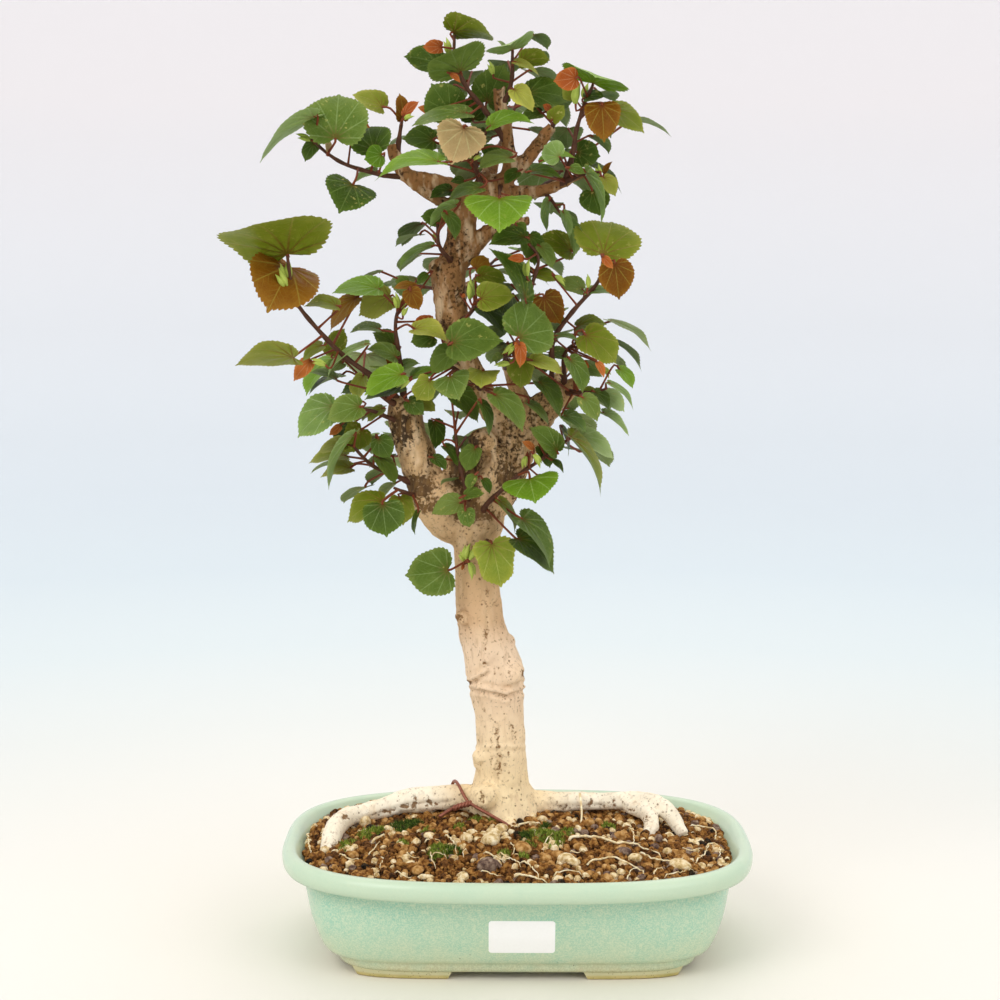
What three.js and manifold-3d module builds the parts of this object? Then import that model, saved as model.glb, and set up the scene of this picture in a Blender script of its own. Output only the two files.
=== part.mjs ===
// A sea hibiscus bonsai in its glazed oval pot, in millimetres.
// The layout frame has its origin under the pot's centre, x to the right, y away from the
// viewer and z up from the feet. The last lines move the group so that its box stands on the origin.
import * as THREE from "three";
import { mergeVertices } from "three/addons/utils/BufferGeometryUtils.js";
import Module from "manifold-3d";

const wasm = await Module();
wasm.setup();
const { Manifold, Mesh: SolidMesh } = wasm;

// Driving sizes of the pot
const RIM_HALF_WIDTH = 125; // outside of the lip, left to right
const RIM_HALF_DEPTH = 98; // outside of the lip, front to back
const RIM_HEIGHT = 58;
const PLAN_EXPONENT = 3; // the rim is a superellipse: rounder than a box, squarer than an ellipse
const BASE_EXPONENT = 6; // the base is squarer still
const LIP_HEIGHT = 10.5;
const FLOOR_TOP = 10;
const FOOT_HEIGHT = 4;
const POT_SIDES = 32;
const DRAIN_X = 45; // two drain holes, this far from the middle
const DRAIN_RADIUS = 8;
const SCREEN_SIDE = 24;
const SCREEN_THICK = 1;
const SCREEN_HOLE = 7; // the mesh's four openings, and how far apart they are
const SCREEN_PITCH = 9.5;
const SCREEN_LIFT = 0.05; // of the screen above the floor

// Driving sizes of the soil, the label and the plant
const SOIL_EDGE = 49.5; // height of the soil at the ends of the pot
const SOIL_MOUND = 17.5; // how much higher it is round the trunk
const LABEL_WIDTH = 33.5;
const LABEL_FROM = 17.3; // lower and upper edge on the front wall
const LABEL_TO = 35.8;
const LABEL_THICK = 0.5;
const WIRE_RADIUS = 0.8;
const PETIOLE_RADIUS = 0.8;
const BLADE_HALF_THICK = 0.45;
const GAP = 0.3; // between pieces that touch on the real thing

// The plant was read in the upright plane through the pot's middle (y = 0), as seen by an eye
// this far away and this high. A reading at another depth slides along its line of sight.
const EYE_X = -9.745;
const EYE_DISTANCE = 1100;
const EYE_Z = 360.27;

const add = (a, b) => [a[0] + b[0], a[1] + b[1], a[2] + b[2]];
const sub = (a, b) => [a[0] - b[0], a[1] - b[1], a[2] - b[2]];
const mul = (a, k) => [a[0] * k, a[1] * k, a[2] * k];
const dot = (a, b) => a[0] * b[0] + a[1] * b[1] + a[2] * b[2];
const cross = (a, b) => [
  a[1] * b[2] - a[2] * b[1],
  a[2] * b[0] - a[0] * b[2],
  a[0] * b[1] - a[1] * b[0],
];
const size = (a) => Math.sqrt(dot(a, a));
const unit = (a) => mul(a, 1 / (size(a) || 1));
const mix = (a, b, t) => add(mul(a, 1 - t), mul(b, t));

function at(x, z, y) {
  const k = (y + EYE_DISTANCE) / EYE_DISTANCE;
  return [EYE_X + (x - EYE_X) * k, y, EYE_Z + (z - EYE_Z) * k];
}

function random(seed) {
  let s = seed >>> 0;
  return () => {
    s = (Math.imul(s, 1664525) + 1013904223) >>> 0;
    return s / 4294967296;
  };
}

function solid(points, faces) {
  const vertProperties = new Float32Array(points.flat());
  const made = new Manifold(
    new SolidMesh({ numProp: 3, vertProperties, triVerts: new Uint32Array(faces.flat()) }),
  );
  if (made.volume() >= 0) return made;
  return new Manifold(
    new SolidMesh({
      numProp: 3,
      vertProperties,
      triVerts: new Uint32Array(faces.map(([a, b, c]) => [a, c, b]).flat()),
    }),
  );
}

// A closed three.js geometry as a solid
function fromGeometry(geometry) {
  geometry.deleteAttribute("normal");
  geometry.deleteAttribute("uv");
  const merged = mergeVertices(geometry, 1e-4);
  return new Manifold(
    new SolidMesh({
      numProp: 3,
      vertProperties: new Float32Array(merged.attributes.position.array),
      triVerts: new Uint32Array(merged.index.array),
    }),
  );
}

function block(centre, sides) {
  return fromGeometry(new THREE.BoxGeometry(...sides).translate(...centre));
}

// Whether a closed surface runs through itself: an edge of one face pierces another face.
function crossesItself(points, faces) {
  const pierces = (a, b, t) => {
    const e = sub(t[1], t[0]),
      g = sub(t[2], t[0]),
      d = sub(b, a),
      h = cross(d, g),
      k = dot(e, h);
    if (Math.abs(k) < 1e-12) return false;
    const s = sub(a, t[0]),
      q = cross(s, e),
      u = dot(s, h) / k,
      v = dot(d, q) / k,
      w = dot(g, q) / k;
    return u >= 0 && v >= 0 && u + v <= 1 && w >= 0 && w <= 1;
  };
  const corners = faces.map((f) => f.map((i) => points[i]));
  for (let i = 0; i < faces.length; i++)
    for (let j = 0; j < faces.length; j++) {
      if (i === j) continue;
      for (let k = 0; k < 3; k++) {
        const a = faces[i][k],
          b = faces[i][(k + 1) % 3];
        if (faces[j].includes(a) || faces[j].includes(b)) continue;
        if (pierces(points[a], points[b], corners[j])) return true;
      }
    }
  return false;
}

// A closed surface from rings of the same number of points, with flat or coned ends.
function loftMesh(rings, startTip, endTip) {
  const n = rings[0].length;
  const points = rings.flat();
  const faces = [];
  const middle = (r) => mul(r.reduce(add, [0, 0, 0]), 1 / n);
  for (let i = 0; i + 1 < rings.length; i++)
    for (let j = 0; j < n; j++) {
      const a = i * n + j,
        b = i * n + ((j + 1) % n);
      faces.push([a, b, b + n], [a, b + n, a + n]);
    }
  const last = (rings.length - 1) * n;
  if (n > 4 || startTip || endTip) {
    points.push(startTip || middle(rings[0]), endTip || middle(rings[rings.length - 1]));
    const s = points.length - 2;
    for (let j = 0; j < n; j++) {
      faces.push([s, (j + 1) % n, j]);
      faces.push([s + 1, last + j, last + ((j + 1) % n)]);
    }
  } else {
    for (let j = 1; j + 1 < n; j++) {
      faces.push([0, j + 1, j]);
      faces.push([last, last + j, last + j + 1]);
    }
  }
  return [points, faces];
}

function loft(rings, startTip, endTip) {
  return solid(...loftMesh(rings, startTip, endTip));
}

// A tapered tube through points [x, y, z] with a radius each, its rings square to the path.
function tube(path, radii, sides, wobble = 0, seed = 1) {
  const draw = random(seed);
  const rings = [];
  let side = null;
  path.forEach((p, i) => {
    const along = unit(sub(path[Math.min(i + 1, path.length - 1)], path[Math.max(i - 1, 0)]));
    if (!side) side = unit(cross(along, Math.abs(along[2]) < 0.8 ? [0, 0, 1] : [0, 1, 0]));
    side = unit(sub(side, mul(along, dot(side, along))));
    const other = cross(along, side);
    const ring = [];
    for (let j = 0; j < sides; j++) {
      const t = (2 * Math.PI * j) / sides;
      const r = radii[i] * (1 + wobble * (2 * draw() - 1));
      ring.push(add(p, add(mul(side, r * Math.cos(t)), mul(other, r * Math.sin(t)))));
    }
    rings.push(ring);
  });
  return loft(rings);
}

// A lumpy ball for a burr or a healed cut.
function knob(centre, radius, seed) {
  const draw = random(seed);
  const rings = [-0.45, 0.45].map((h) => {
    const ring = [];
    for (let j = 0; j < 6; j++) {
      const t = (2 * Math.PI * (j + (h > 0 ? 0.5 : 0))) / 6;
      const r = radius * Math.sqrt(1 - h * h) * (0.9 + 0.25 * draw());
      ring.push(add(centre, [r * Math.cos(t), r * Math.sin(t), radius * h]));
    }
    return ring;
  });
  return loft(rings, add(centre, [0, 0, -radius]), add(centre, [0, 0, radius]));
}

function joined(list) {
  const all = Manifold.union(list);
  return all
    .decompose()
    .filter((b) => b.volume() > 0)
    .sort((a, b) => b.volume() - a.volume())[0];
}

// The pot: rings of the plan outline, each drawn in from the lip by its inset.
function planRing(inset, z, sides = POT_SIDES, power = PLAN_EXPONENT, end = 0) {
  return Array.from({ length: sides }, (_, j) => {
    const angle = (2 * Math.PI * (j + 0.5)) / sides;
    const c = Math.cos(angle) / (RIM_HALF_WIDTH - inset - end),
      s = Math.sin(angle) / (RIM_HALF_DEPTH - inset),
      reach = (Math.abs(c) ** power + Math.abs(s) ** power) ** (-1 / power);
    return [Math.cos(angle) * reach, Math.sin(angle) * reach, z];
  });
}

// Outer wall from the underside to the lip: [height, inset, exponent, extra inset of the ends]
const OUTER = [
  [FOOT_HEIGHT, 28, BASE_EXPONENT, 3],
  [8.5, 27, BASE_EXPONENT, 3],
  [10, 24.5, 5.4, 0],
  [16, 20.4, 5, 0],
  [26, 16.2, 4.4, 0],
  [38, 13, 3.7, 0],
  [RIM_HEIGHT - LIP_HEIGHT - 0.5, 9.4, 3, 0],
  [RIM_HEIGHT - LIP_HEIGHT + 0.5, 1.6, 3, 0],
  [RIM_HEIGHT - 4, 0, 3, 0],
  [RIM_HEIGHT, 2.6, 3, 0],
];
const INNER = [
  [RIM_HEIGHT, 7, 3],
  [44, 16, 3.3],
  [20, 25, 4.6],
  [FLOOR_TOP, 36, 5],
];

// Inset and exponent of the outer wall at a height
function outerAt(z) {
  for (let i = 0; i + 1 < OUTER.length; i++) {
    const [z0, a, m] = OUTER[i],
      [z1, b, n] = OUTER[i + 1];
    const t = (z - z0) / (z1 - z0);
    if (t <= 1) return [a + (b - a) * t, m + (n - m) * t];
  }
  return OUTER[OUTER.length - 1].slice(1, 3);
}

function footSolid(x0, x1, front) {
  // a low curved foot that follows the base, its ends sloped
  const rows = [0, 1, 2, 3].map((i) => x0 + ((x1 - x0) * i) / 3);
  const y = (x, inset) =>
    (RIM_HALF_DEPTH - inset) *
    (1 - (Math.abs(x) / (RIM_HALF_WIDTH - inset - 3)) ** BASE_EXPONENT) ** (1 / BASE_EXPONENT);
  const rings = rows.map((x, i) => {
    const slope = i === 0 ? -3 : i === 3 ? 3 : 0;
    const outer = front * y(x, 29),
      inner = front * (y(x, 29) - 12);
    return [
      [x, outer, 0],
      [x, inner, 0],
      [x + slope, inner - front * 1.5, FOOT_HEIGHT + 1],
      [x + slope, outer - front * 0.2, FOOT_HEIGHT + 1],
    ];
  });
  return loft(rings);
}

function makePot() {
  const body = loft(
    OUTER.map(([z, inset, power, end]) => planRing(inset, z, POT_SIDES, power, end)),
  );
  const hollow = loft(
    [[RIM_HEIGHT + 6, 6.5, 3], ...INNER].map(([z, inset, power]) =>
      planRing(inset, z, POT_SIDES, power),
    ),
  );
  const hole = (x) =>
    fromGeometry(
      new THREE.CylinderGeometry(DRAIN_RADIUS, DRAIN_RADIUS, 2 * FLOOR_TOP, 10)
        .rotateX(Math.PI / 2)
        .translate(x, 0, FLOOR_TOP - 2),
    );
  const feet = [
    [36, 82],
    [-82, -36],
  ].flatMap(([a, b]) => [footSolid(a, b, 1), footSolid(a, b, -1)]);
  return Manifold.union([body, ...feet]).subtract(
    Manifold.union([hollow, hole(DRAIN_X), hole(-DRAIN_X)]),
  );
}

// A square of plastic mesh over a drain hole
function makeScreen(x, grow = 0) {
  const side = SCREEN_SIDE + 2 * grow;
  const thick = SCREEN_THICK + 2 * grow;
  const z = FLOOR_TOP + SCREEN_LIFT + SCREEN_THICK / 2;
  const plate = block([x, 0, z], [side, side, thick]);
  if (grow) return plate;
  const holes = [];
  for (const i of [-0.5, 0.5])
    for (const j of [-0.5, 0.5])
      holes.push(
        block([x + i * SCREEN_PITCH, j * SCREEN_PITCH, z], [SCREEN_HOLE, SCREEN_HOLE, 2 * thick]),
      );
  return plate.subtract(Manifold.union(holes));
}

function soilHeight(x, y) {
  const wide = Math.exp(-(Math.abs((x + 4) / 97) ** 3.5));
  const deep = Math.exp(-(Math.abs((y - 8) / 76) ** 2.5));
  return SOIL_EDGE + SOIL_MOUND * wide * deep;
}

function makeSoil(cutters) {
  // the top surface is a fan of rings with coarse seeded grains; the sides follow the pot
  const draw = random(71);
  const shares = [1, 0.86, 0.66, 0.44, 0.2];
  const sides = 26;
  const edge = planRing(9, 0, sides);
  const rings = [planRing(9, 0, sides)];
  shares.forEach((share, i) =>
    rings.push(
      edge.map(([x, y]) => {
        const jitter = i ? 2.2 : 0;
        const px = x * share + jitter * (2 * draw() - 1),
          py = y * share + jitter * (2 * draw() - 1);
        return [px, py, soilHeight(px, py) + (i ? 1.5 : 0.6) * (2 * draw() - 1)];
      }),
    ),
  );
  const heap = loft(rings, null, [0, 0, soilHeight(0, 0)]);
  // the same profile as the pot's inside, a gap smaller
  const room = loft(
    INNER.map(([z, inset, power]) =>
      planRing(inset + GAP + 0.05, Math.max(z, FLOOR_TOP + GAP), POT_SIDES, power),
    ),
  );
  return heap.intersect(room).subtract(Manifold.union(cutters));
}

// The label is a thin plate that lies on the front wall.
function makeLabel() {
  const columns = 6;
  const heights = [LABEL_FROM, 26, LABEL_TO];
  const rows = heights.length - 1;
  const centreX = 1.9;
  const wallY = (x, z) => {
    const [inset, power] = outerAt(z);
    const share = 1 - (Math.abs(x) / (RIM_HALF_WIDTH - inset)) ** power;
    return -(RIM_HALF_DEPTH - inset) * share ** (1 / power);
  };
  const points = [];
  for (const out of [GAP + 0.1, GAP + 0.1 + LABEL_THICK])
    for (const z of heights)
      for (let j = 0; j <= columns; j++) {
        const x = centreX + LABEL_WIDTH * (j / columns - 0.5);
        points.push([x, wallY(x, z) - out, z]);
      }
  const n = columns + 1,
    layer = n * (rows + 1);
  const faces = [];
  const quad = (a, b, c, d) => faces.push([a, b, c], [a, c, d]);
  for (let i = 0; i < rows; i++)
    for (let j = 0; j < columns; j++) {
      const a = i * n + j;
      quad(a, a + n, a + n + 1, a + 1);
      quad(layer + a, layer + a + 1, layer + a + n + 1, layer + a + n);
    }
  const loop = [];
  for (let j = 0; j < columns; j++) loop.push(j);
  for (let i = 0; i < rows; i++) loop.push(columns + i * n);
  for (let j = columns; j > 0; j--) loop.push(rows * n + j);
  for (let i = rows; i > 0; i--) loop.push(i * n);
  loop.forEach((a, k) => {
    const b = loop[(k + 1) % loop.length];
    quad(a, b, layer + b, layer + a);
  });
  return solid(points, faces);
}

// Wood: each row is [x, z, depth, radius], read in the front plane
const WOOD = [
  { sides: 10, row: [[-6, 50, 10, 17], [-6, 60, 10, 19], [-6.5, 68, 10, 19.5], [-7.5, 76, 10, 17.8],
    [-8.6, 84, 10, 15.6], [-8.3, 91, 10, 14.2], [-8.8, 108, 10, 13.5], [-9.6, 124, 10, 13.1],
    [-11, 136, 10, 14.6], [-12.6, 147, 10, 15.8], [-16.2, 160, 10, 13.7], [-19.2, 171, 10, 12.6],
    [-21.2, 186, 10, 12], [-22, 204, 10, 11.7], [-22.6, 216, 9, 12.2], [-22.3, 225, 8, 13.6],
    [-20, 236, 7, 13], [-15, 250, 5, 11], [-13, 260, 4, 9.5], [-15, 266, 3, 7]] },
  { sides: 7, row: [[-26, 220, 9, 9], [-37, 228, 8, 11.6], [-45, 238, 6, 11.2], [-50, 250, 5, 10],
    [-54, 263, 4, 9.4], [-58, 274, 3, 9], [-60, 284, 3, 9], [-60, 292, 3, 7.6]] },
  { sides: 7, row: [[-15, 236, 9, 10], [-7, 250, 10, 10], [-2, 262, 12, 9], [4, 273, 14, 9],
    [10, 284, 15, 9], [18, 292, 16, 7.4], [25, 297, 17, 5.8], [31, 301, 18, 3.6]] },
  { sides: 7, row: [[-3, 258, 10, 8], [-6.5, 275, 10, 7.2], [-14, 288, 10, 7], [-22, 300, 10, 7],
    [-30, 315, 10, 7.5], [-34, 330, 10, 8], [-36, 345, 10, 8.5], [-37, 357, 10, 9.2],
    [-34, 365, 10, 8], [-31, 376, 10, 7.5], [-29, 392, 10, 7], [-25, 402, 10, 5.5]] },
  { sides: 5, row: [[7, 279, 14, 6], [3, 288, 13, 5], [-2, 300, 12, 4], [-7, 313, 11, 2.6]] },
  { sides: 5, row: [[-33, 364, 10, 6], [-26, 370, 8, 5.2], [-17, 379, 6, 3.8], [-6, 384, 4, 3],
    [5, 385.5, 3, 2.3]] },
  { sides: 5, row: [[-30, 385, 8, 5], [-32, 391, 6, 4.2], [-44, 397, 3, 2.8], [-55, 404.5, 1, 3],
    [-62, 413, 0, 4], [-67, 425, 0, 3]] },
  { sides: 5, row: [[-26, 398, 10, 5.5], [-38, 404, 8, 4.2], [-48, 406.5, 5, 4], [-58, 409, 1, 3]] },
  { sides: 5, row: [[-28, 394, 10, 6], [-19, 403, 9, 5.2], [-8, 407, 8, 4.6], [-5, 414, 7, 4.2],
    [-7, 430, 6, 3.7], [-10, 445, 5, 3.4], [-11, 454, 5, 3.1]] },
  { sides: 5, row: [[-6, 409, 7, 4], [4, 418, 5, 3.6], [11, 427, 3, 3.4], [17, 434.5, 2, 2.8]] },
  { sides: 5, row: [[-20, 402, 9, 5], [-5, 400, 9, 4.2], [8, 400.5, 8, 3.4], [20, 404, 6, 3],
    [33, 410, 3, 2]] },
  // limbs that leave from the back
  { sides: 5, row: [[-34, 336, 12, 6], [-31, 345, 30, 3.6], [-26, 352, 48, 2.6]] },
  { sides: 5, row: [[12, 287, 17, 6], [19, 300, 36, 3.4], [24, 309, 54, 2.4]] },
  { sides: 5, row: [[-56, 268, 6, 6], [-60, 280, 24, 3.6], [-63, 290, 42, 2.4]] },
  { sides: 5, row: [[-21, 401, 11, 5], [-15, 413, 28, 3.4], [-10, 424, 46, 2.4]] },
  // surface roots
  { sides: 7, row: [[-14, 74, 10, 11], [-30, 77.5, 11, 7], [-46, 76.4, 12, 7.2], [-59, 75.3, 12, 6.8],
    [-72, 71.6, 11, 5.6], [-84, 68.6, 8, 4.9], [-92, 66, 1, 5.2], [-98, 60, -9, 5.6],
    [-101, 51, -19, 5.2], [-102, 40, -29, 4.2]] },
  { sides: 7, row: [[2, 73, 10, 10], [16, 75, 11, 6.2], [34, 75.6, 12, 4.8], [50, 75.6, 13, 4.8],
    [63, 75.6, 12, 5.4], [73, 74.8, 9, 5.2], [80, 70.5, 5, 4.8], [85, 65, 0, 4.2], [90, 57, -6, 3.2]] },
  { sides: 6, row: [[60, 73.5, 9, 4.4], [70, 69, 2, 4.7], [72.5, 62, -5, 4.3], [69.5, 55, -11, 3.8],
    [67, 46, -16, 3]] },
  { sides: 6, row: [[-8, 66, 16, 9], [-14, 62, 36, 6], [-22, 58, 52, 4.2], [-30, 48, 62, 3]] },
  { sides: 6, row: [[0, 66, 16, 8], [14, 62, 34, 5.4], [26, 58, 48, 4], [38, 47, 58, 3]] },
  { sides: 6, row: [[-7, 64, 2, 8], [-4, 60, -12, 5], [0, 52, -20, 3.4]] },
];

// Burrs, healed cuts and sawn stubs: [x, z, depth, radius]
const KNOBS = [
  [-31.5, 175.5, 6, 4.4], [-23, 100, 8, 5], [-19, 152, -2.4, 3.4], [-41, 343, 9, 5],
  [-20, 270.5, -3, 4.9], [-6, 243, 0, 7], [-43, 361, 9, 4.4], [-63, 290, -1, 6],
  [-52, 243, -2, 5], [-18, 77, -2, 7],
];

function makeTree(grow) {
  const limbs = WOOD.map(({ sides, row }, i) =>
    tube(
      row.map(([x, z, y]) => at(x, z, y)),
      row.map(([, , y, r]) => (r * (y + EYE_DISTANCE)) / EYE_DISTANCE + grow),
      sides,
      0.045,
      11 + i,
    ),
  );
  const burrs = KNOBS.map(([x, z, y, r], i) => knob(at(x, z, y), r + grow, 41 + i));
  return joined([...limbs, ...burrs]);
}

// Wire that ties the trunk down: over the left root, a twist in front, and on into the soil
const WIRE = [
  [[-39, 58, 25], [-38, 70, 24], [-36, 80, 21.5], [-34.5, 85.6, 16], [-33, 86, 9], [-31, 83, 3.4],
    [-28.5, 78, 1], [-25.5, 73.5, -2.5]],
  [[-24.5, 74, -4], [-30, 72.6, -4.6], [-36, 70.6, -6], [-42, 66.6, -9]],
  [[-27, 75, -3.6], [-20, 70.8, -12.5], [-12, 66.2, -14.5], [-5, 61.8, -15.5], [0, 56, -16]],
];
const TWIST = [[-24.5, 74.2, -3.6, 1.5], [-28, 73.6, -4.2, 2], [-31.5, 72.4, -4.8, 1.9],
  [-34, 71.4, -5.4, 1.4]];

function makeWire(grow, tree) {
  const strands = WIRE.map((row, i) =>
    tube(
      row.map(([x, z, y]) => at(x, z, y)),
      row.map(() => WIRE_RADIUS + grow),
      5,
      0,
      91 + i,
    ),
  );
  const twist = tube(
    TWIST.map(([x, z, y]) => at(x, z, y)),
    TWIST.map((t) => t[3] + grow),
    6,
    0.1,
    95,
  );
  const whole = Manifold.union([...strands, twist]);
  return tree ? joined([whole.subtract(tree)]) : whole;
}

// Leafy shoots. stems: [x, z, depth, radius] from the wood outwards.
// leaves: [base x, base z, tip x, tip z, width seen, depth of the base, kind, depth from base to
// tip, slope seen across the blade]. A negative width is a blade seen from below. Kinds: d deep
// green, g green, b bright, p pale, o olive, n brown, r orange and young, m mottled, k pinkish
// underside, u folded bud.
const SHOOTS = [
  { name: "shoot_far_left_arm",
    stems: [[[-59, 408.5, 1, 2.3], [-71, 409, -3, 1.6], [-89.5, 414, -9, 1.4], [-100, 420, -13, 1.3],
      [-109, 428, -16, 1]]],
    leaves: [[-76, 422, -79, 434, 20, -14, "d"], [-72, 419.5, -81, 417, 11, -6, "b"],
      [-87, 404, -94, 390, 25, -18, "d"], [-75, 411, -87, 405, -4, -8, "p"],
      [-107, 439, -134.5, 415, -4.5, -26, "p"], [-96, 428, -94, 451, 32, -22, "g"],
      [-109, 427, -117, 429, 4, -17, "u"], [-107, 425, -112, 416, 8, -10, "g"],
      [-106, 437, -117, 439.5, 6, -8, "g"], [-100, 421, -101.5, 430, 3, -18, "k"],
      [-84, 436, -78, 433.5, 4, -4, "r"]] },
  { name: "shoot_crown_left_tip",
    stems: [[[-64, 419, 0, 2.4], [-62.5, 430, -1, 1.5], [-61, 439, -1, 1.2]]],
    leaves: [[-61, 438, -62.5, 451, 7, -1, "n"], [-60, 440, -52.5, 447, 5, -3, "r"],
      [-60, 438, -55, 440, 3, -5, "u"], [-71.5, 444, -87, 450, 11, -6, "m"]] },
  { name: "shoot_crown_top_left",
    stems: [[[-7, 426, 6, 2.4], [-15, 438, 1, 1.8], [-21, 446, -1, 1.7], [-27, 453, -3, 1.6],
      [-31, 461, -4, 1.5], [-34, 471, -6, 1.3], [-34, 481, -7, 1.1]]],
    leaves: [[-34.5, 482.3, -14, 480, -9, -7, "o", -14], [-42, 466, -60, 470, -13, 0, "g"],
      [-31, 462.5, -36, 473, -30, -6, "g"], [-41, 474.8, -50.5, 474.8, 7, -8, "r"],
      [-37, 471, -39.5, 479.5, 4, -9, "u"], [-36, 461, -31, 456.5, 3.5, -10, "r"],
      [-36, 441, -46, 456, 20, 5, "d"], [-24, 438, -26, 450, 13, 8, "d"],
      [-46, 442, -53, 444, 4.5, 6, "r"], [-28, 441, -55.5, 434, 9, -8, "g"],
      [-17, 447, -8, 466, 19, 10, "d"]] },
  { name: "shoot_crown_top",
    stems: [[[-10, 445, 5, 2.4], [-6, 451, 2, 1.7], [-4, 461, 0, 1.5], [-4, 473, -2, 1.2]]],
    leaves: [[-4, 473.5, -4.9, 476, -24, -2, "p"], [-7, 474, -12, 478, 2.5, 1, "g"],
      [-14, 461, -17, 467.5, 3.5, 3, "u"],
      [1, 468, 15.5, 468.5, -9, 2, "o"], [-2, 467, 10, 460, 5, -4, "o"],
      [-3, 453, 7, 442, 10, -8, "m"]] },
  { name: "shoot_crown_front",
    stems: [[[-21, 401, 9, 2.6], [-21, 406, 1, 1.9], [-23, 415, -5, 1.7], [-22, 422, -9, 1.5],
      [-17, 433, -12, 1.2]]],
    leaves: [[-29, 433.5, -35.5, 415, -24, -24, "k"], [-45, 427, -61, 428, 12, 6, "d"],
      [-42.5, 416, -76, 407, 9, -30, "b"], [-46, 417, -60, 415, 6, 6, "d"],
      [-15, 434.5, 7, 437, 9, -18, "b"], [-5, 418, -22, 413, 8, -12, "g"],
      [-12, 418.5, -20, 424, 8, -5, "d"], [-20.5, 402.5, -38, 395.5, 7, -14, "g"],
      [-36, 401, -47, 397.5, 7, -2, "d"], [-25, 416, -26.5, 424, 2.5, -8, "u"],
      [-24, 417, -19.5, 419, 2, -10, "u"], [-29, 406, -36, 406, 5, -4, "d"],
      [-1, 411, -8, 405, 6, -6, "d"]] },
  { name: "shoot_crown_top_right",
    stems: [[[24, 406, 5, 2.3], [28, 422, 0, 1.8], [29, 430, -2, 1.6], [31, 438, -3, 1.5],
      [34, 447, -5, 1.4], [38, 456, -6, 1.2]]],
    leaves: [[38, 456.6, 39, 459.4, -33, -6, "b"], [29, 459, 17.5, 457.5, 11, -10, "r"],
      [29, 446, 31, 457, 3, -8, "u"], [34, 448, 35, 457, 3, -8, "u"],
      [34, 449, 44, 450, 6, 0, "g"], [28, 449, 22, 454, 8, 1, "o"],
      [42.5, 445, 44, 427, 18, -18, "n"], [46.5, 443, 64.5, 431, 12, -6, "o"],
      [30, 421, 42, 419, 14, 8, "d"]] },
  { name: "shoot_crown_stub",
    stems: [[[13, 430, 3, 2.4], [17, 434, 1, 1.5], [20, 440, 0, 1.2]]],
    leaves: [[4, 451, 27, 448, 16, 10, "d"], [16, 443, 12, 445.5, 4, -1, "r"],
      [17, 438, 23, 445, 8, -3, "o"], [17, 441, 6, 446.5, 6, 3, "p"],
      [11, 441, 0, 437, 7, 5, "g"]] },
  { name: "shoot_crown_right",
    stems: [[[19, 403.5, 6, 2.4], [33, 410, 0, 1.6], [42, 411, -4, 1.2]]],
    leaves: [[20.5, 419, 12.5, 424.5, -12, -8, "p"], [12, 416.5, 30, 418.5, 5, -2, "b"],
      [6, 411, 22, 407.5, 6, -5, "d"],
      [42, 409, 40, 415, 4, -5, "u"], [44, 410, 48, 416.5, 3, -4, "n"],
      [44, 408, 50, 398.5, 8, -7, "o"], [38, 401, 42, 388.5, 15, 4, "d"],
      [34.5, 411, 42.5, 384, -3.5, -16, "p"], [26, 413, 34, 410, 6, -3, "g"]] },
  { name: "shoot_crown_right_low",
    stems: [[[12, 401, 8, 1.7], [17, 396, 5, 1.3], [21, 390, 4, 1.1]]],
    leaves: [[15.3, 396, 15, 380, -5.5, 3, "p"], [23, 390, 26, 377, -4, -2, "p"],
      [24.5, 386, 29, 366, -7, 2, "p"]] },
  { name: "leaf_crown_front_bright",
    stems: [[[-10, 404, 8, 1.9], [-10.3, 401, -8, 1.2], [-10.5, 398, -22, 1]]],
    leaves: [[-10.5, 397, -10.5, 379.5, 33, -26, "b"], [-3, 398, 0, 390, 3, -14, "g"]] },
  { name: "shoot_leader_left",
    stems: [[[-34, 363, 10, 2.4], [-38, 367, -2, 1.6], [-42, 373, -5, 1.4], [-43, 384, -7, 1.1]]],
    leaves: [[-33, 394, -47, 382, -4, -22, "p"], [-40, 386, -51.5, 388, 9, 0, "d"],
      [-38, 389, -33, 376, 7, -15, "g"], [-46, 372.5, -63, 361, -3.5, -10, "p"],
      [-44, 375, -46, 380, 2.5, -8, "u"]] },
  { name: "shoot_left_upright",
    stems: [[[-60, 286, 3, 3], [-62, 305, -2, 1.8], [-63, 315, -4, 1.7], [-65, 330, -6, 1.5],
      [-63, 342, -7, 1.2]]],
    leaves: [[-74, 350, -98, 347.5, 10, -12, "b"], [-68, 346, -84, 336, 15, -2, "o"],
      [-55, 329, -37, 323, 8, -18, "m"], [-74, 329, -89, 327.5, 5, -4, "d"],
      [-66, 321, -77, 327, 9, 4, "d"], [-65, 314.5, -80, 319, 8, -9, "g"],
      [-63, 308.5, -52, 311, 5, -11, "g"], [-58, 353, -65, 354, 8, -6, "d"],
      [-55, 351.5, -66, 350.5, 4, -10, "n"], [-57, 349, -52.5, 339, 10, -11, "n"],
      [-48, 358, -53.5, 352.5, 5.5, -5, "d"], [-46, 333, -55.5, 332.5, 7, -10, "r"],
      [-62, 340, -58, 347, 4, -9, "u"], [-64, 340, -66, 348, 3.5, -7, "u"],
      [-61, 336, -58.5, 341, 3, -10, "u"], [-64, 309, -70, 313, 5, 0, "n"]] },
  { name: "shoot_far_left",
    stems: [[[-61, 288, 3, 2.8], [-70, 299, -7, 1.9], [-80, 306, -13, 1.8], [-93, 315.5, -19, 1.7],
      [-107, 330, -25, 1.6], [-117, 343, -29, 1.5], [-120, 355, -31, 1.4], [-121.5, 367, -32, 1.3]]],
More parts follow.
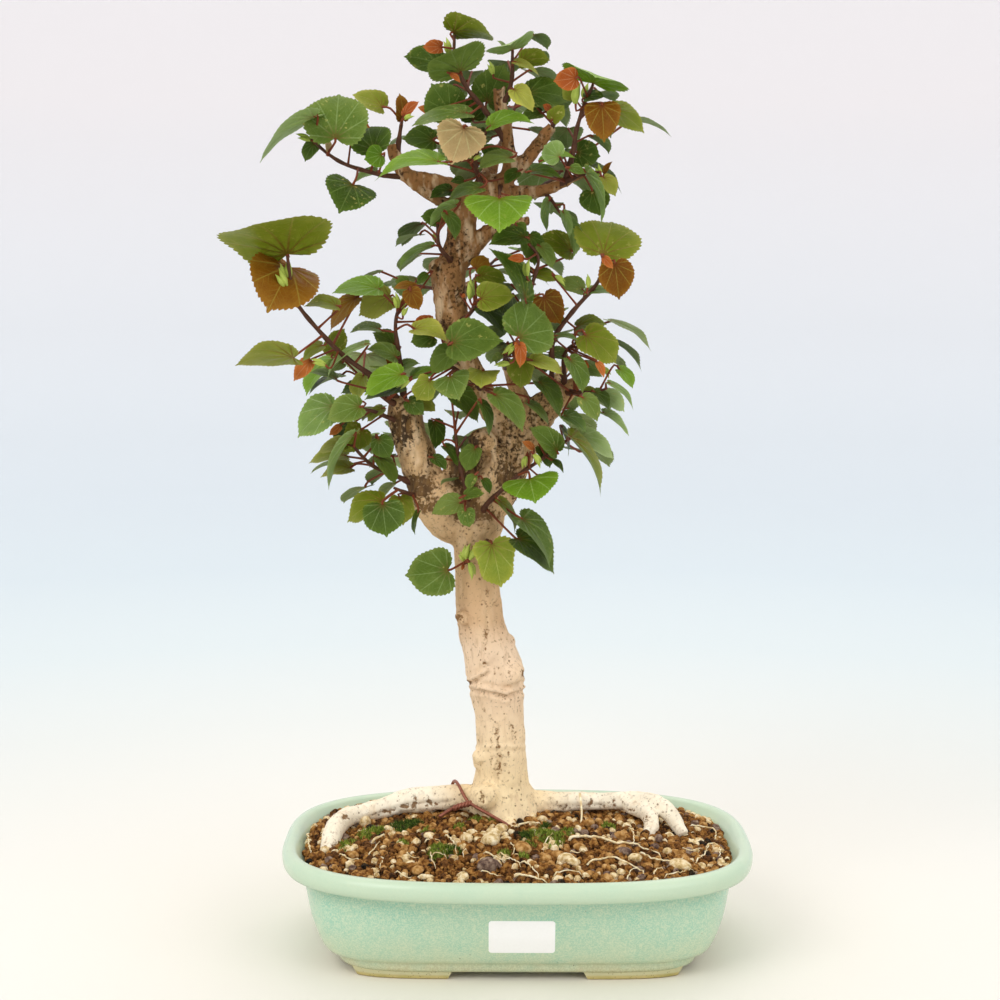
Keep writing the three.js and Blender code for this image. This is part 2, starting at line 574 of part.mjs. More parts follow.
    leaves: [[-121.5, 368, -139, 383, -53, -28, "o", -38, 14], [-120, 361, -132.5, 337, 35, -22, "n"],
      [-123, 355, -125.5, 367, 5, -35, "u"], [-123, 351, -130.5, 361, 5, -36, "u"],
      [-118, 342, -127, 345, 1.6, -31, "u"], [-114, 343, -111.5, 352, 1.8, -28, "u"],
      [-96, 341, -113, 341, 7, -16, "o"], [-86, 345, -99, 328, 9, -10, "n"],
      [-98, 315.5, -92, 329, 12, -12, "o"], [-104, 320, -114, 312, 6, -22, "o"],
      [-119, 314, -149, 309, -14, -34, "p"], [-110, 312, -118.5, 301.5, 8, -27, "r"],
      [-102, 310, -110, 312, 3.5, -23, "u"], [-93, 311, -103, 306, 7, -15, "d"],
      [-81, 320.5, -102, 304, 3.5, -20, "p"]] },
  { name: "shoot_left_outer",
    stems: [[[-61, 288, 0, 2.8], [-70, 292, -8, 1.7], [-78, 299, -12, 1.4]]],
    leaves: [[-62, 305, -81, 294, 12, -28, "b"], [-62, 299, -81, 291.5, 8, -18, "d"],
      [-82, 304, -85, 291, 8, -12, "m"], [-81, 298, -94, 295.5, 6, -6, "d"],
      [-97, 303, -110, 306, 3, -10, "g"], [-58, 302, -64, 297, 4, -24, "u"]] },
  { name: "shoot_left_mid",
    stems: [[[-57, 278, 3, 2.8], [-68, 282, -4, 1.7], [-78, 286, -8, 1.4], [-88, 287, -12, 1.1]]],
    leaves: [[-98, 288, -117, 272, 17, -18, "b"], [-84, 288, -101, 281.5, 13, -20, "g"],
      [-94, 278, -100, 273, 5, -14, "r"], [-89, 278, -96, 266, 9, -6, "d"],
      [-83, 276, -92, 264, 14, 2, "o"], [-84, 291, -93, 292, 5, -8, "n"],
      [-72, 287, -80, 280, 5, 0, "o"]] },
  { name: "shoot_left_low",
    stems: [[[-52, 246, 4, 2.8], [-64, 251, -2, 1.7], [-76, 256, -6, 1.5], [-83, 262, -9, 1.3],
      [-88, 268, -11, 1.1]]],
    leaves: [[-87.5, 273, -100, 244, -4, -18, "p"], [-92, 262, -111, 258, 6, -8, "o"],
      [-92, 268, -106, 263.5, 7, -4, "o"], [-89, 255.5, -105, 250.5, 6, -12, "o"],
      [-74, 261, -65, 247, 6, -10, "d"], [-74, 271, -68, 261, 11, -4, "g"]] },
  { name: "shoot_left_hanging",
    stems: [[[-49, 240, 4, 2.8], [-58, 242, -9, 1.6], [-66, 245, -14, 1.2]]],
    leaves: [[-72, 238, -91, 227, 11, -14, "o"], [-72, 236, -70, 219, 21, -22, "g"],
      [-63, 240, -61, 225, 13, -8, "o"], [-53, 232, -55, 220, 3, -17, "d"]] },
  { name: "sprout_trunk_left",
    stems: [[[-24, 205, 8, 2.6], [-28, 206, -5, 1.6], [-29, 209, -7, 1.1]]],
    leaves: [[-37.5, 201, -60, 198, 25, -10, "g"], [-28, 207, -26, 216, 3.5, -8, "u"],
      [-29, 206, -32, 211, 3, -7, "u"], [-26, 207, -18.5, 214, 3, -9, "u"],
      [-26, 205, -24, 196, 3.5, -10, "u"], [-29, 204, -30, 201, 2, -8, "r"]] },
  { name: "sprout_trunk_front",
    stems: [[[-18, 216, 8, 2], [-16.5, 217, -8, 1.3], [-15, 216.5, -12, 1]]],
    leaves: [[-14, 215, -9, 192, 21, -15, "o"]] },
  { name: "shoot_right_low",
    stems: [[[-20, 230, 6, 2.6], [-17, 236, -10, 1.8], [-10, 243, -12, 1.6], [0, 252, -11, 1.5],
      [10, 259, -9, 1.4], [20, 266, -8, 1.3], [27, 272, -7, 1.1]]],
    leaves: [[0, 218, 19.5, 200, 12, -10, "d"], [2, 228.5, 18, 204, 10, -22, "g"],
      [-10, 238, -1, 222, 4, -18, "o"], [6, 250, 9, 237, 27, -24, "b"],
      [27.5, 272, 43.5, 241, 9, -14, "o"], [32, 272.5, 50.5, 260, 9, -6, "p"],
      [20, 265, 6, 277, 11, -16, "g"], [12, 267, 17, 256, 8, -4, "d"],
      [8, 266, 2, 270, 4, -18, "r"], [4, 262, 3, 255, 3, -16, "u"], [8, 263, 12, 256, 3, -20, "u"],
      [23, 277, 26, 262, 3, -2, "d"], [18, 260, 24, 253.5, 3.5, -14, "d"],
      [10, 252, 15, 246, 3.5, -8, "d"]] },
  { name: "sprout_crotch",
    stems: [[[-24, 232, 6, 2.4], [-28, 245, -7, 1.6], [-32, 262, -8, 1.4], [-34, 280, -8, 1.2]]],
    leaves: [[-34, 296, -21.5, 280, 11, -14, "d"], [-20, 290, -16, 273, 5, -20, "g"],
      [-23, 266, -28, 254, 10, -12, "d"], [-39, 267, -32, 257, 4, -10, "d"],
      [-45, 280, -44, 266, 8, -8, "d"], [-45, 261, -38, 255, 5, -12, "g"],
      [-31, 237, -46, 231.5, 10, -14, "g"], [-28, 233, -26, 224, 9, -17, "g"],
      [-23, 252, -27, 244, 6, -16, "d"], [-28, 241, -18, 242, 5, -20, "d"],
      [-19, 250, -15, 242, 5, -18, "d"]] },
  { name: "shoot_centre",
    stems: [[[-20, 297, 10, 2.4], [-22, 300, -6, 1.6], [-30, 306, -10, 1.4], [-40, 312, -12, 1.2]]],
    leaves: [[-12.5, 294.5, 3, 276, 10, -30, "g"], [11, 301, 22, 284, 8, -6, "d"],
      [5, 290, 16, 278, 3.5, -8, "g"], [-36, 304, -31.5, 292, 18, -28, "g"],
      [-47, 302, -54, 291.5, 12, -18, "m"], [-56, 304, -42, 306, 5, -14, "b"],
      [-19, 307, -20, 298, 17, -26, "m"], [-52, 291, -44, 286, 7, -6, "o"],
      [-58, 291, -50, 284, 9, -14, "g"], [-45, 325, -57, 322, 10, -6, "d"],
      [-35, 317, -46, 306, 12, -6, "d"]] },
  { name: "shoot_right_branch",
    stems: [[[24, 296, 17, 3], [30, 296, 4, 1.7], [40, 296, -2, 1.3], [46, 298, -4, 1]]],
    leaves: [[53, 308, 60.5, 298.5, 6, -2, "b"], [48, 300.5, 61, 287, 3, -8, "p"],
      [40, 296, 48, 287, 6, -6, "g"], [45, 295, 56, 286, 8, -2, "p"],
      [34, 293, 42, 281, 9, -12, "g"], [45, 285, 58, 273, 4, 2, "p"],
      [24.5, 283.5, 36, 275, 6, 0, "p"], [27, 313, 34, 296, 9.5, -16, "g"],
      [7, 312.5, 23, 305, 6, -14, "m"], [31, 308, 44, 304, 5, 4, "g"],
      [33, 296, 41, 297.5, 4, -14, "o"]] },
  { name: "shoot_right_upright_low",
    stems: [[[23, 295, 18, 2.8], [24, 304, 12, 1.8], [24, 316, 7, 1.5], [31, 323, 5, 1.2]]],
    leaves: [[31, 330.5, 46, 332, 7, 6, "o"], [35, 326, 51.5, 311.5, 16, -4, "o"],
      [44, 317, 49, 311.5, 5, -10, "r"], [41, 312, 45, 304, 4.5, -12, "r"],
      [45, 309, 48, 303.5, 3, -9, "u"], [33, 312, 37, 309, 4, 0, "r"],
      [20, 325.5, 31, 323.5, 2.4, -6, "g"], [17, 317, 27, 313.5, 6, 0, "g"]] },
  { name: "shoot_right_tall",
    stems: [[[15, 290, 15, 3], [17.5, 307, 2, 1.9], [18, 323, -3, 1.8], [27, 337, -5, 1.7],
      [40, 352, -8, 1.6], [43, 359, -9, 1.4], [44, 368, -10, 1.2]]],
    leaves: [[44, 368.5, 48.5, 385.5, 31, -10, "o"], [50, 363.5, 52.5, 345, 17, -12, "n"],
      [44, 367, 49, 361, 5, -14, "r"], [44, 357, 50, 364, 5, -16, "u"],
      [33, 350, 20, 353.5, 8, 2, "g"], [36, 348.5, 50, 347.5, 4.5, -4, "p"],
      [36, 351, 35, 358, 2, -6, "u"], [19, 357, 24.5, 352, 3, -4, "u"]] },
  { name: "shoot_centre_right",
    stems: [[[-3, 302, 12, 2.6], [0, 318, 2, 1.8], [5, 332, -4, 1.7], [5, 343, -7, 1.6],
      [7, 353, -9, 1.5], [10, 366, -10, 1.3], [4, 375, -12, 1.1]]],
    leaves: [[27, 370, 9, 377, 11, 2, "o"], [11, 372, 17.5, 361, 7, 6, "g"],
      [8, 358, 20, 354.5, 6, 4, "o"], [3, 345, -15.5, 371, 9, -30, "d"],
      [3, 377, -16, 374, 9, -20, "d"], [5, 378, 8, 362.5, 12, -14, "d"],
      [4, 355, -11, 369, 5, -20, "p"], [2.5, 366, -6, 366, 5, -26, "r"],
      [4, 357, 4.5, 366, 4, -24, "u"], [13, 346, 22, 332, 15, -12, "n"],
      [8, 343, 10, 349, 4, -16, "u"], [14, 335, 17, 344, 4, -17, "u"],
      [-2, 384, 3, 377, 9, -8, "d"]] },
  { name: "shoot_centre_front",
    stems: [[[-6, 309, 11, 2.6], [-7, 314, -8, 1.7], [-3, 318, -22, 1.4], [-0.5, 323, -32, 1.1]]],
    leaves: [[0, 325, 14, 338.5, 28, -34, "g"], [0, 321, 0.5, 309, 6, -36, "r"],
      [-3, 321, -8, 315, 5, -33, "u"], [-9, 316, -14, 312, 4, -26, "g"],
      [-5, 311, -13, 309, 2.4, -28, "u"], [2, 313, 1, 298, 13, -22, "o"]] },
  { name: "shoot_centre_left",
    stems: [[[-33, 332, 10, 2.6], [-27, 336, -4, 1.7], [-21, 344, -12, 1.3]]],
    leaves: [[-35, 322, -8.5, 323, 20, -34, "d"], [-20, 340, -8, 328, 8, -18, "d"],
      [-20, 345, -2.5, 346.5, 14, -24, "o"], [-21, 357, -6.5, 354, 9, -18, "o"],
      [-23, 361, -16, 366, 9, -14, "n"], [-26, 345, -27, 356, 3, -12, "u"],
      [-23, 347, -25, 355, 3, -14, "u"], [-30, 347, -28, 346, 2.5, -6, "r"]] },
];

// Shoots at the back, which the front view hides. path: [x, z, depth, radius]; leaves sit along it
// by rule, with their length in millimetres.
const BACK_SHOOTS = [
  { name: "shoot_back_leader", path: [[-28, 349, 40, 2.6], [-20, 358, 58, 1.6], [-12, 366, 74, 1.2]],
    leaves: 5, length: 27, seed: 201 },
  { name: "shoot_back_leader_left",
    path: [[-31, 345, 30, 2.6], [-44, 350, 44, 1.6], [-58, 352, 56, 1.2]],
    leaves: 4, length: 24, seed: 202 },
  { name: "shoot_back_right", path: [[23, 307, 50, 2.4], [30, 318, 62, 1.6], [34, 332, 70, 1.2]],
    leaves: 5, length: 25, seed: 203 },
  { name: "shoot_back_right_low", path: [[19, 300, 36, 2.6], [16, 288, 52, 1.6], [8, 276, 66, 1.2]],
    leaves: 5, length: 26, seed: 204 },
  { name: "shoot_back_left", path: [[-62, 288, 38, 2.4], [-74, 296, 52, 1.6], [-86, 306, 62, 1.2]],
    leaves: 5, length: 26, seed: 205 },
  { name: "shoot_back_left_low", path: [[-60, 280, 24, 2.6], [-66, 270, 40, 1.6], [-72, 258, 52, 1.2]],
    leaves: 5, length: 24, seed: 206 },
  { name: "shoot_back_crown", path: [[-11, 422, 42, 2.4], [-6, 434, 54, 1.6], [-2, 446, 62, 1.2]],
    leaves: 5, length: 26, seed: 207 },
  { name: "shoot_back_crown_left",
    path: [[-15, 413, 28, 2.6], [-30, 420, 42, 1.6], [-44, 426, 54, 1.2]],
    leaves: 5, length: 25, seed: 208 },
  { name: "shoot_back_crown_right", path: [[8, 400.5, 8, 2.6], [16, 406, 30, 1.7], [24, 414, 48, 1.2]],
    leaves: 5, length: 24, seed: 209 },
  { name: "shoot_back_trunk", path: [[-22, 226, 16, 2.8], [-26, 240, 34, 1.7], [-28, 256, 46, 1.3]],
    leaves: 5, length: 24, seed: 210 },
];

const YOUNG = "rnu";

// A blade's base, axes and true size from a row, with its base at depth y.
function bladeFrame(row, y) {
  const [bx, bz, tx, tz, seen, , kind, given, slant] = row;
  const scale = (y + EYE_DISTANCE) / EYE_DISTANCE;
  const width = Math.abs(seen) * scale;
  const under = seen < 0;
  const base = at(bx, bz, y);
  const narrowest = YOUNG.includes(kind) ? 0.62 : 0.9;
  const widest = YOUNG.includes(kind) ? 0.95 : 1.15;
  const flat = sub(at(tx, tz, y), base);
  const seenLength = Math.sqrt(flat[0] * flat[0] + flat[2] * flat[2]);
  let depth = given || 0;
  if (!depth && width > widest * seenLength) {
    // too wide for its length, so it is foreshortened: an upper side slopes away as it rises
    const full = width / widest;
    depth = Math.sqrt(full * full - seenLength * seenLength);
    if (flat[2] < 0 !== under) depth = -depth;
  }
  const line = sub(at(tx, tz, y + depth), base);
  const length = size(line);
  const rib = unit(line);
  const inPlane = unit([flat[2], 0, -flat[0]]);
  const full = Math.max(width, narrowest * length);
  const turn = Math.acos(Math.min(1, width / full));
  const facing = under ? 1 : -1;
  let best = null;
  for (const sign of [1, -1]) {
    const across = add(
      mul(inPlane, Math.cos(turn)),
      mul(cross(rib, inPlane), sign * Math.sin(turn)),
    );
    let up = unit(cross(rib, across));
    if (up[1] * facing < 0) up = mul(up, -1);
    if (!best || up[2] > best[2]) best = up;
  }
  let across = unit(cross(rib, best));
  if (slant !== undefined) {
    // the blade's two halves are seen to lie along this slope, in degrees
    const c = Math.cos((slant * Math.PI) / 180),
      s = Math.sin((slant * Math.PI) / 180);
    across = unit([c, -(rib[0] * c + rib[2] * s) / rib[1], s]);
    best = unit(cross(rib, across));
    if (best[1] * facing < 0) best = mul(best, -1);
    across = unit(cross(rib, best));
  }
  return { base, rib, up: best, across, length, width: full, kind };
}

// A blade that grows from a back shoot, straight from its direction.
function freeFrame(base, rib, length, width, kind) {
  const across = unit(cross(rib, [0, 0, 1]));
  return { base, rib, up: unit(cross(across, rib)), across, length, width, kind };
}

const FOLD = 0.16; // each half rises from the rib by this share of its reach
const ARCH = 0.09; // the middle stands above the base and the tip by this share of the length

function bladePoint(f, u, v, lift = 0) {
  const h = FOLD * Math.abs(v) * f.width + ARCH * 4 * u * (1 - u) * f.length + lift;
  return add(
    add(f.base, mul(f.rib, u * f.length)),
    add(mul(f.across, v * f.width), mul(f.up, h)),
  );
}

// Half outlines, from the lobe beside the stalk to the tip: [along, across]
const HEART = [[-0.12, 0.24], [0.03, 0.47], [0.3, 0.5], [0.58, 0.4], [0.82, 0.21]];
const ROUND = [[-0.08, 0.32], [0.24, 0.5], [0.64, 0.35]];
const OVAL = [[0.14, 0.42], [0.62, 0.4]];
const LARGE_LEAF = 17;
const SMALL_LEAF = 10;
const LEAST_LEAF = 12;
const TEETH = 0.04;

// Turns a vector by the smallest rotation that takes direction a to direction b.
function carry(v, a, b) {
  const c = cross(a, b);
  const k = 1 / Math.max(0.05, 1 + dot(a, b));
  const cv = cross(c, v);
  return add(add(v, cv), mul(cross(c, cv), k));
}

// Rings of three points back along the stalk, from the blade's base to the stem.
function stalkRings(f, stalk, grow) {
  const points = [...stalk].reverse();
  const rings = [];
  let before = mul(f.rib, -1);
  let up = f.up,
    across = f.across;
  points.forEach((p, i) => {
    if (i) {
      const next = points[Math.min(i + 1, points.length - 1)];
      const direction = unit(sub(next, points[i - 1]));
      up = unit(carry(up, before, direction));
      across = unit(carry(across, before, direction));
      before = direction;
    }
    // slim where it sinks into the stem
    const r = PETIOLE_RADIUS * (i === points.length - 1 ? 0.35 : 1) + grow;
    rings.push([
      add(p, mul(up, r)),
      add(p, add(mul(up, -0.5 * r), mul(across, 0.87 * r))),
      add(p, add(mul(up, -0.5 * r), mul(across, -0.87 * r))),
    ]);
  });
  return rings;
}

// A blade and its stalk as one closed surface. The stalk's last ring is the blade's notch. With
// grow it is the slightly larger form that a crossing neighbour is cut by.
function leafMesh(frame, stalk, seed, grow = 0) {
  const draw = random(seed);
  const reach = Math.max(frame.length, frame.width);
  const f = { ...frame, width: frame.width + 4 * grow, length: frame.length + 4 * grow };
  f.base = sub(frame.base, mul(frame.rib, 2 * grow));
  const rings = stalkRings(frame, stalk, grow);
  if (f.kind === "u") {
    // a folded bud swells from its stalk and closes to a point
    const r = Math.max(0.9, f.width / 2) + grow;
    const belly = [1.5707963, -0.5235988, -2.6179939].map((t) =>
      add(
        bladePoint(f, 0.42, 0),
        add(mul(f.across, r * Math.cos(t)), mul(f.up, 0.8 * r * Math.sin(t))),
      ),
    );
    return loftMesh([...rings.reverse(), belly], null, bladePoint(f, 1, 0));
  }
  const half = reach < SMALL_LEAF ? OVAL : reach < LARGE_LEAF ? ROUND : HEART;
  const ribPoints = reach < SMALL_LEAF ? [0.42] : [0.26, 0.62];
  const points = rings.flat();
  const top = 0,
    right = 1,
    left = 2;
  const faces = [];
  for (let i = 0; i + 1 < rings.length; i++)
    for (let j = 0; j < 3; j++) {
      const a = i * 3 + j,
        b = i * 3 + ((j + 1) % 3);
      faces.push([a, b, b + 3], [a, b + 3, a + 3]);
    }
  const last = points.length - 3;
  faces.push([last, last + 1, last + 2]);
  const edge = [];
  const put = (u, v, wave) => {
    edge.push(points.length);
    points.push(bladePoint(f, u, v, wave * (2 * draw() - 1)));
  };
  const tooth = (i) => 1 + TEETH * (i % 2 ? 1 : -1) + 0.05 * (2 * draw() - 1);
  half.forEach(([u, v], i) => put(u, v * tooth(i), 0.4));
  put(1, 0, 0);
  [...half].reverse().forEach(([u, v], i) => put(u, -v * tooth(i), 0.4));
  const tip = half.length;
  const switchAt = Math.ceil(half.length / 2); // where the fan moves to the second rib point
  for (const side of [1, -1]) {
    const centres = ribPoints.map((u) => {
      points.push(bladePoint(f, u, 0, side * (BLADE_HALF_THICK + grow)));
      return points.length - 1;
    });
    const put3 = (a, b, c) => faces.push(side > 0 ? [a, c, b] : [a, b, c]);
    const loop = side > 0 ? [top, right, ...edge, left] : [right, ...edge, left];
    const shift = side > 0 ? 2 : 1;
    for (let i = 0; i < loop.length; i++) {
      const j = (i + 1) % loop.length;
      const far =
        centres.length > 1 && i >= shift + switchAt && i < shift + 2 * tip - switchAt;
      put3(loop[i], loop[j], centres[far ? 1 : 0]);
    }
    if (centres.length > 1) {
      put3(loop[shift + switchAt], centres[1], centres[0]);
      put3(centres[0], centres[1], loop[shift + 2 * tip - switchAt]);
    }
  }
  return [points, faces];
}

function leafSolid(f, stalk, seed, grow = 0) {
  const whole = leafMesh(f, stalk, seed, grow);
  if (!crossesItself(...whole)) return solid(...whole);
  // the stalk would run through its own blade, so a straight one is made apart and joined
  const stub = leafMesh(f, [sub(f.base, mul(f.rib, 1.5)), f.base], seed, grow);
  const end = sub(f.base, mul(f.rib, 0.6));
  const thick = PETIOLE_RADIUS + grow;
  return Manifold.union([solid(...stub), tube([stalk[0], end], [thick, 0.9 * thick], 4)]);
}

// Points spread over a blade, for keeping it clear of what is already placed
function bladeSamples(f) {
  const out = [];
  const steps = Math.max(2, Math.ceil(f.length / 3.5));
  const across = Math.max(2, Math.ceil(f.width / 3.5));
  for (let i = 0; i <= steps; i++)
    for (let j = 0; j <= across; j++) {
      const u = -0.1 + (1.08 * i) / steps,
        v = j / across - 0.5;
      const reach = u < 0.17 ? 0.5 : 0.5 * Math.sqrt(Math.max(0, (1 - u) / 0.83));
      if (Math.abs(v) <= reach + 0.02) out.push(bladePoint(f, u, v));
    }
  return out;
}

const CLEAR = 3; // least distance between the samples of two blades
const placed = [];

function record(points, radii, shoot, blade, stem = false) {
  let centre = [0, 0, 0];
  for (const p of points) centre = add(centre, p);
  centre = mul(centre, 1 / points.length);
  let reach = 0;
  points.forEach((p, i) => {
    reach = Math.max(reach, size(sub(p, centre)) + radii[i]);
  });
  placed.push({ points, radii, centre, reach, shoot, blade, stem });
}

function isClear(points, radius, shoot, blade) {
  let centre = [0, 0, 0];
  for (const p of points) centre = add(centre, p);
  centre = mul(centre, 1 / points.length);
  let reach = 0;
  for (const p of points) reach = Math.max(reach, size(sub(p, centre)));
  for (const other of placed) {
    if (other.shoot === shoot && !blade && !other.blade) continue;
    if (other.shoot === shoot && other.stem) continue;
    const room = blade && other.blade ? CLEAR : 1.3 + radius;
    if (size(sub(centre, other.centre)) > reach + other.reach + room) continue;
    for (const p of points)
      for (let i = 0; i < other.points.length; i++) {
        const q = other.points[i];
        const d = room + other.radii[i];
        const x = p[0] - q[0],
          y = p[1] - q[1],
          z = p[2] - q[2];
        if (x * x + y * y + z * z < d * d) return false;
      }
  }
  return true;
}

// Points every few millimetres along a path, with radii between those given
function along(path, radii, step) {
  const points = [],
    out = [];
  for (let i = 0; i + 1 < path.length; i++) {
    const n = Math.max(1, Math.ceil(size(sub(path[i + 1], path[i])) / step));
    for (let j = 0; j < n; j++) {
      points.push(mix(path[i], path[i + 1], j / n));
      out.push(radii[i] + ((radii[i + 1] - radii[i]) * j) / n);
    }
  }
  points.push(path[path.length - 1]);
  out.push(radii[radii.length - 1]);
  return [points, out];
}

// The point of the stem nearest to a blade's base, moved a little towards the root
function attachment(path, base) {
  const [points] = along(path, path.map(() => 0), 1.5);
  let best = 0,
    least = Infinity;
  points.forEach((p, i) => {
    const d = size(sub(p, base));
    if (d < least) {
      least = d;
      best = i;
    }
  });
  const back = least > 6 ? Math.min(4, Math.round(least / 6)) : least < 3 ? 2 : 0;
  const from = Math.max(best - back, Math.min(points.length - 1, 4));
  return points[from];
}

// Ways for the stalk from the stem to the blade. They leave the blade backwards through the notch
// and turn to the stem behind the lobes, first on the side where the stem is.
function stalkWays(from, f) {
  const end = f.base;
  const reach = size(sub(end, from));
  const ahead = unit(sub(from, end));
  const under = add(end, add(mul(f.rib, -1.8), mul(f.up, -0.9)));
  const side = dot(ahead, f.up) > 0 ? 1 : -1;
  const ways = [];
  if (dot(ahead, f.rib) < -0.45) ways.push([from, end]);
  ways.push([from, under, end]);
  for (const s of [side, -side]) {
    const behind = add(end, add(mul(f.rib, -0.12 * f.length - 2.2), mul(f.up, s * 1.2)));
    const half = mix(from, behind, 0.5);
    ways.push([from, behind, end]);
    ways.push([from, add(half, mul(f.up, s * (1 + 0.14 * f.length))), behind, end]);
    for (const t of [0.35, -0.35])
      ways.push([from, add(half, mul(f.across, t * reach)), behind, end]);
  }
  return ways;
}

function stalkPath(from, f, spots) {
  const ways = stalkWays(from, f);
  for (const path of ways) {
    const [points] = along(path, path.map(() => 0), 1.2);
    const own = points.filter((p) => size(sub(p, f.base)) > 3);
    if (own.every((p) => spots.every((q) => size(sub(p, q)) > 2.4))) return path;
  }
  return ways[ways.length - 9];
}

const OFFSETS = [0, -3, 3, -6, 6, -9, 9, -12, 12, -16, 16, -20, 20];

for (const { row } of WOOD) {
  const path = row.map(([x, z, y]) => at(x, z, y));
  const [points, radii] = along(path, row.map((r) => r[3]), 3);
  record(points, radii, "wood", false);
}
for (const shoot of SHOOTS)
  shoot.paths = shoot.stems.map((stem) => stem.map(([x, z, y]) => at(x, z, y)));
for (const shoot of BACK_SHOOTS) {
  shoot.paths = [shoot.path.map(([x, z, y]) => at(x, z, y))];
  shoot.stems = [shoot.path];
}
for (const shoot of [...SHOOTS, ...BACK_SHOOTS]) {
  shoot.blades = [];
  shoot.paths.forEach((path, i) => {
    const [points, radii] = along(path, shoot.stems[i].map((r) => r[3]), 3);
    record(points, radii, shoot.name, false, true);
  });
}

function nearestPath(shoot, base) {
  let best = shoot.paths[0],
    least = Infinity;
  for (const path of shoot.paths)
    for (const p of along(path, path.map(() => 0), 3)[0]) {
      const d = size(sub(p, base));
      if (d < least) {
        least = d;
        best = path;
      }
    }
  return best;
}

// Bend each blade clear: it slides along its line of sight until it meets nothing placed before.
function settle(shoot, frameAt, seed) {
  let first = null;
  for (const offset of OFFSETS) {
    const f = frameAt(offset);
    const spots = bladeSamples(f);
    const stalk = stalkPath(attachment(nearestPath(shoot, f.base), f.base), f, spots);
    const [stalkSpots] = along(stalk, stalk.map(() => 0), 3);
    if (!first) first = { f, stalk, spots, stalkSpots, seed };
    if (!isClear(spots, 0, shoot.name, true)) continue;
    if (stalkSpots.length > 3 && !isClear(stalkSpots.slice(2, -1), 0.8, shoot.name, false)) continue;
    first = { f, stalk, spots, stalkSpots, seed };
    break;
  }
  record(first.spots, first.spots.map(() => 0), shoot.name, true);
  if (first.stalkSpots.length > 3)
    record(
      first.stalkSpots.slice(2, -1),
      first.stalkSpots.slice(2, -1).map(() => 0.8),
      shoot.name,
      false,
    );
  shoot.blades.push(first);
}

const WIDE_FIRST = [18, 11, 0]; // the widest blades keep their places, the small ones give way
WIDE_FIRST.forEach((least, pass) => {
  const most = pass ? WIDE_FIRST[pass - 1] : Infinity;
  SHOOTS.forEach((shoot, s) =>
    shoot.leaves.forEach((row, i) => {
      const reach = Math.max(Math.abs(row[4]), Math.hypot(row[2] - row[0], row[3] - row[1]));
      if (reach < least || reach >= most) return;
      settle(shoot, (offset) => bladeFrame(row, row[5] + offset), 1000 + s * 40 + i);
    }),
  );
});

for (const shoot of BACK_SHOOTS) {
  const draw = random(shoot.seed);
  const path = shoot.paths[0];
  const [points] = along(path, path.map(() => 0), 1.5);
  const out = unit([path[2][0] - path[0][0], path[2][1] - path[0][1], 0]);
  const side = [-out[1], out[0], 0];
  for (let i = 0; i < shoot.leaves; i++) {
    const share = 0.35 + (0.65 * (i + 0.5)) / shoot.leaves;
    const from = points[Math.min(points.length - 1, Math.round(share * (points.length - 1)))];
    const swing = (i % 2 ? 1 : -1) * (0.5 + 0.9 * draw());
    const rise = 0.35 * draw() + 0.1;
    const drop = -0.25 - 0.7 * draw();
    const reach = 10 + 12 * draw();
    const length = shoot.length * (0.72 + 0.42 * draw());
    const width = length * (0.92 + 0.2 * draw());
    const kind = "dgdgob"[Math.floor(6 * draw())];
    const outward = unit(add(mul(out, Math.cos(swing)), mul(side, Math.sin(swing))));
    settle(
      shoot,
      (offset) => {
        const base = add(from, mul(add(outward, [0, 0, rise]), reach + Math.abs(offset)));
        const moved = add(base, [0, 0, offset]);
        const f = freeFrame(moved, unit(add(outward, [0, 0, drop])), length, width, kind);
        return f;
      },
      3000 + shoot.seed * 20 + i,
    );
  }
}

function makeShoot(shoot, grow) {
  const parts = shoot.paths.map((path, i) =>
    tube(path, shoot.stems[i].map((r) => r[3] + grow), 4, 0, 5),
  );
  shoot.blades.forEach(({ f, stalk, seed }) => {
    // the smallest young leaves and buds are left to the dressed part
    if (Math.max(f.length, f.width) < LEAST_LEAF) return;
    const drawn = [stalk, ...stalkWays(stalk[0], f)].find(
      (way) => !crossesItself(...leafMesh(f, way, seed)),
    );
    parts.push(leafSolid(f, drawn || stalk, seed, grow));
  });
  return Manifold.union(parts);
}

const tree = makeTree(0);
const grownTree = makeTree(GAP);
const wire = makeWire(0, grownTree);
const grownScreens = [DRAIN_X, -DRAIN_X].map((x) => makeScreen(x, GAP));
const shootSolids = [];
const earlier = [];
for (const shoot of [...SHOOTS, ...BACK_SHOOTS]) {
  let made = makeShoot(shoot, 0).subtract(grownTree);
  for (const other of earlier)
    if (made.intersect(other.solid).volume() > 0) {
      if (!other.grown) other.grown = makeShoot(other.shoot, GAP);
      made = made.subtract(other.grown);
    }
  made = joined([made]);
  earlier.push({ shoot, solid: made });
  shootSolids.push([shoot.name, made]);
}

const NODES = [
  ["pot", makePot()],
  ["drain_screen_left", makeScreen(-DRAIN_X)],
  ["drain_screen_right", makeScreen(DRAIN_X)],
  ["soil", joined([makeSoil([grownTree, makeWire(GAP, null), ...grownScreens])])],
  ["tree", tree],
  ["tie_wire", wire],
  ["blank_label", makeLabel()],
  ...shootSolids,
];

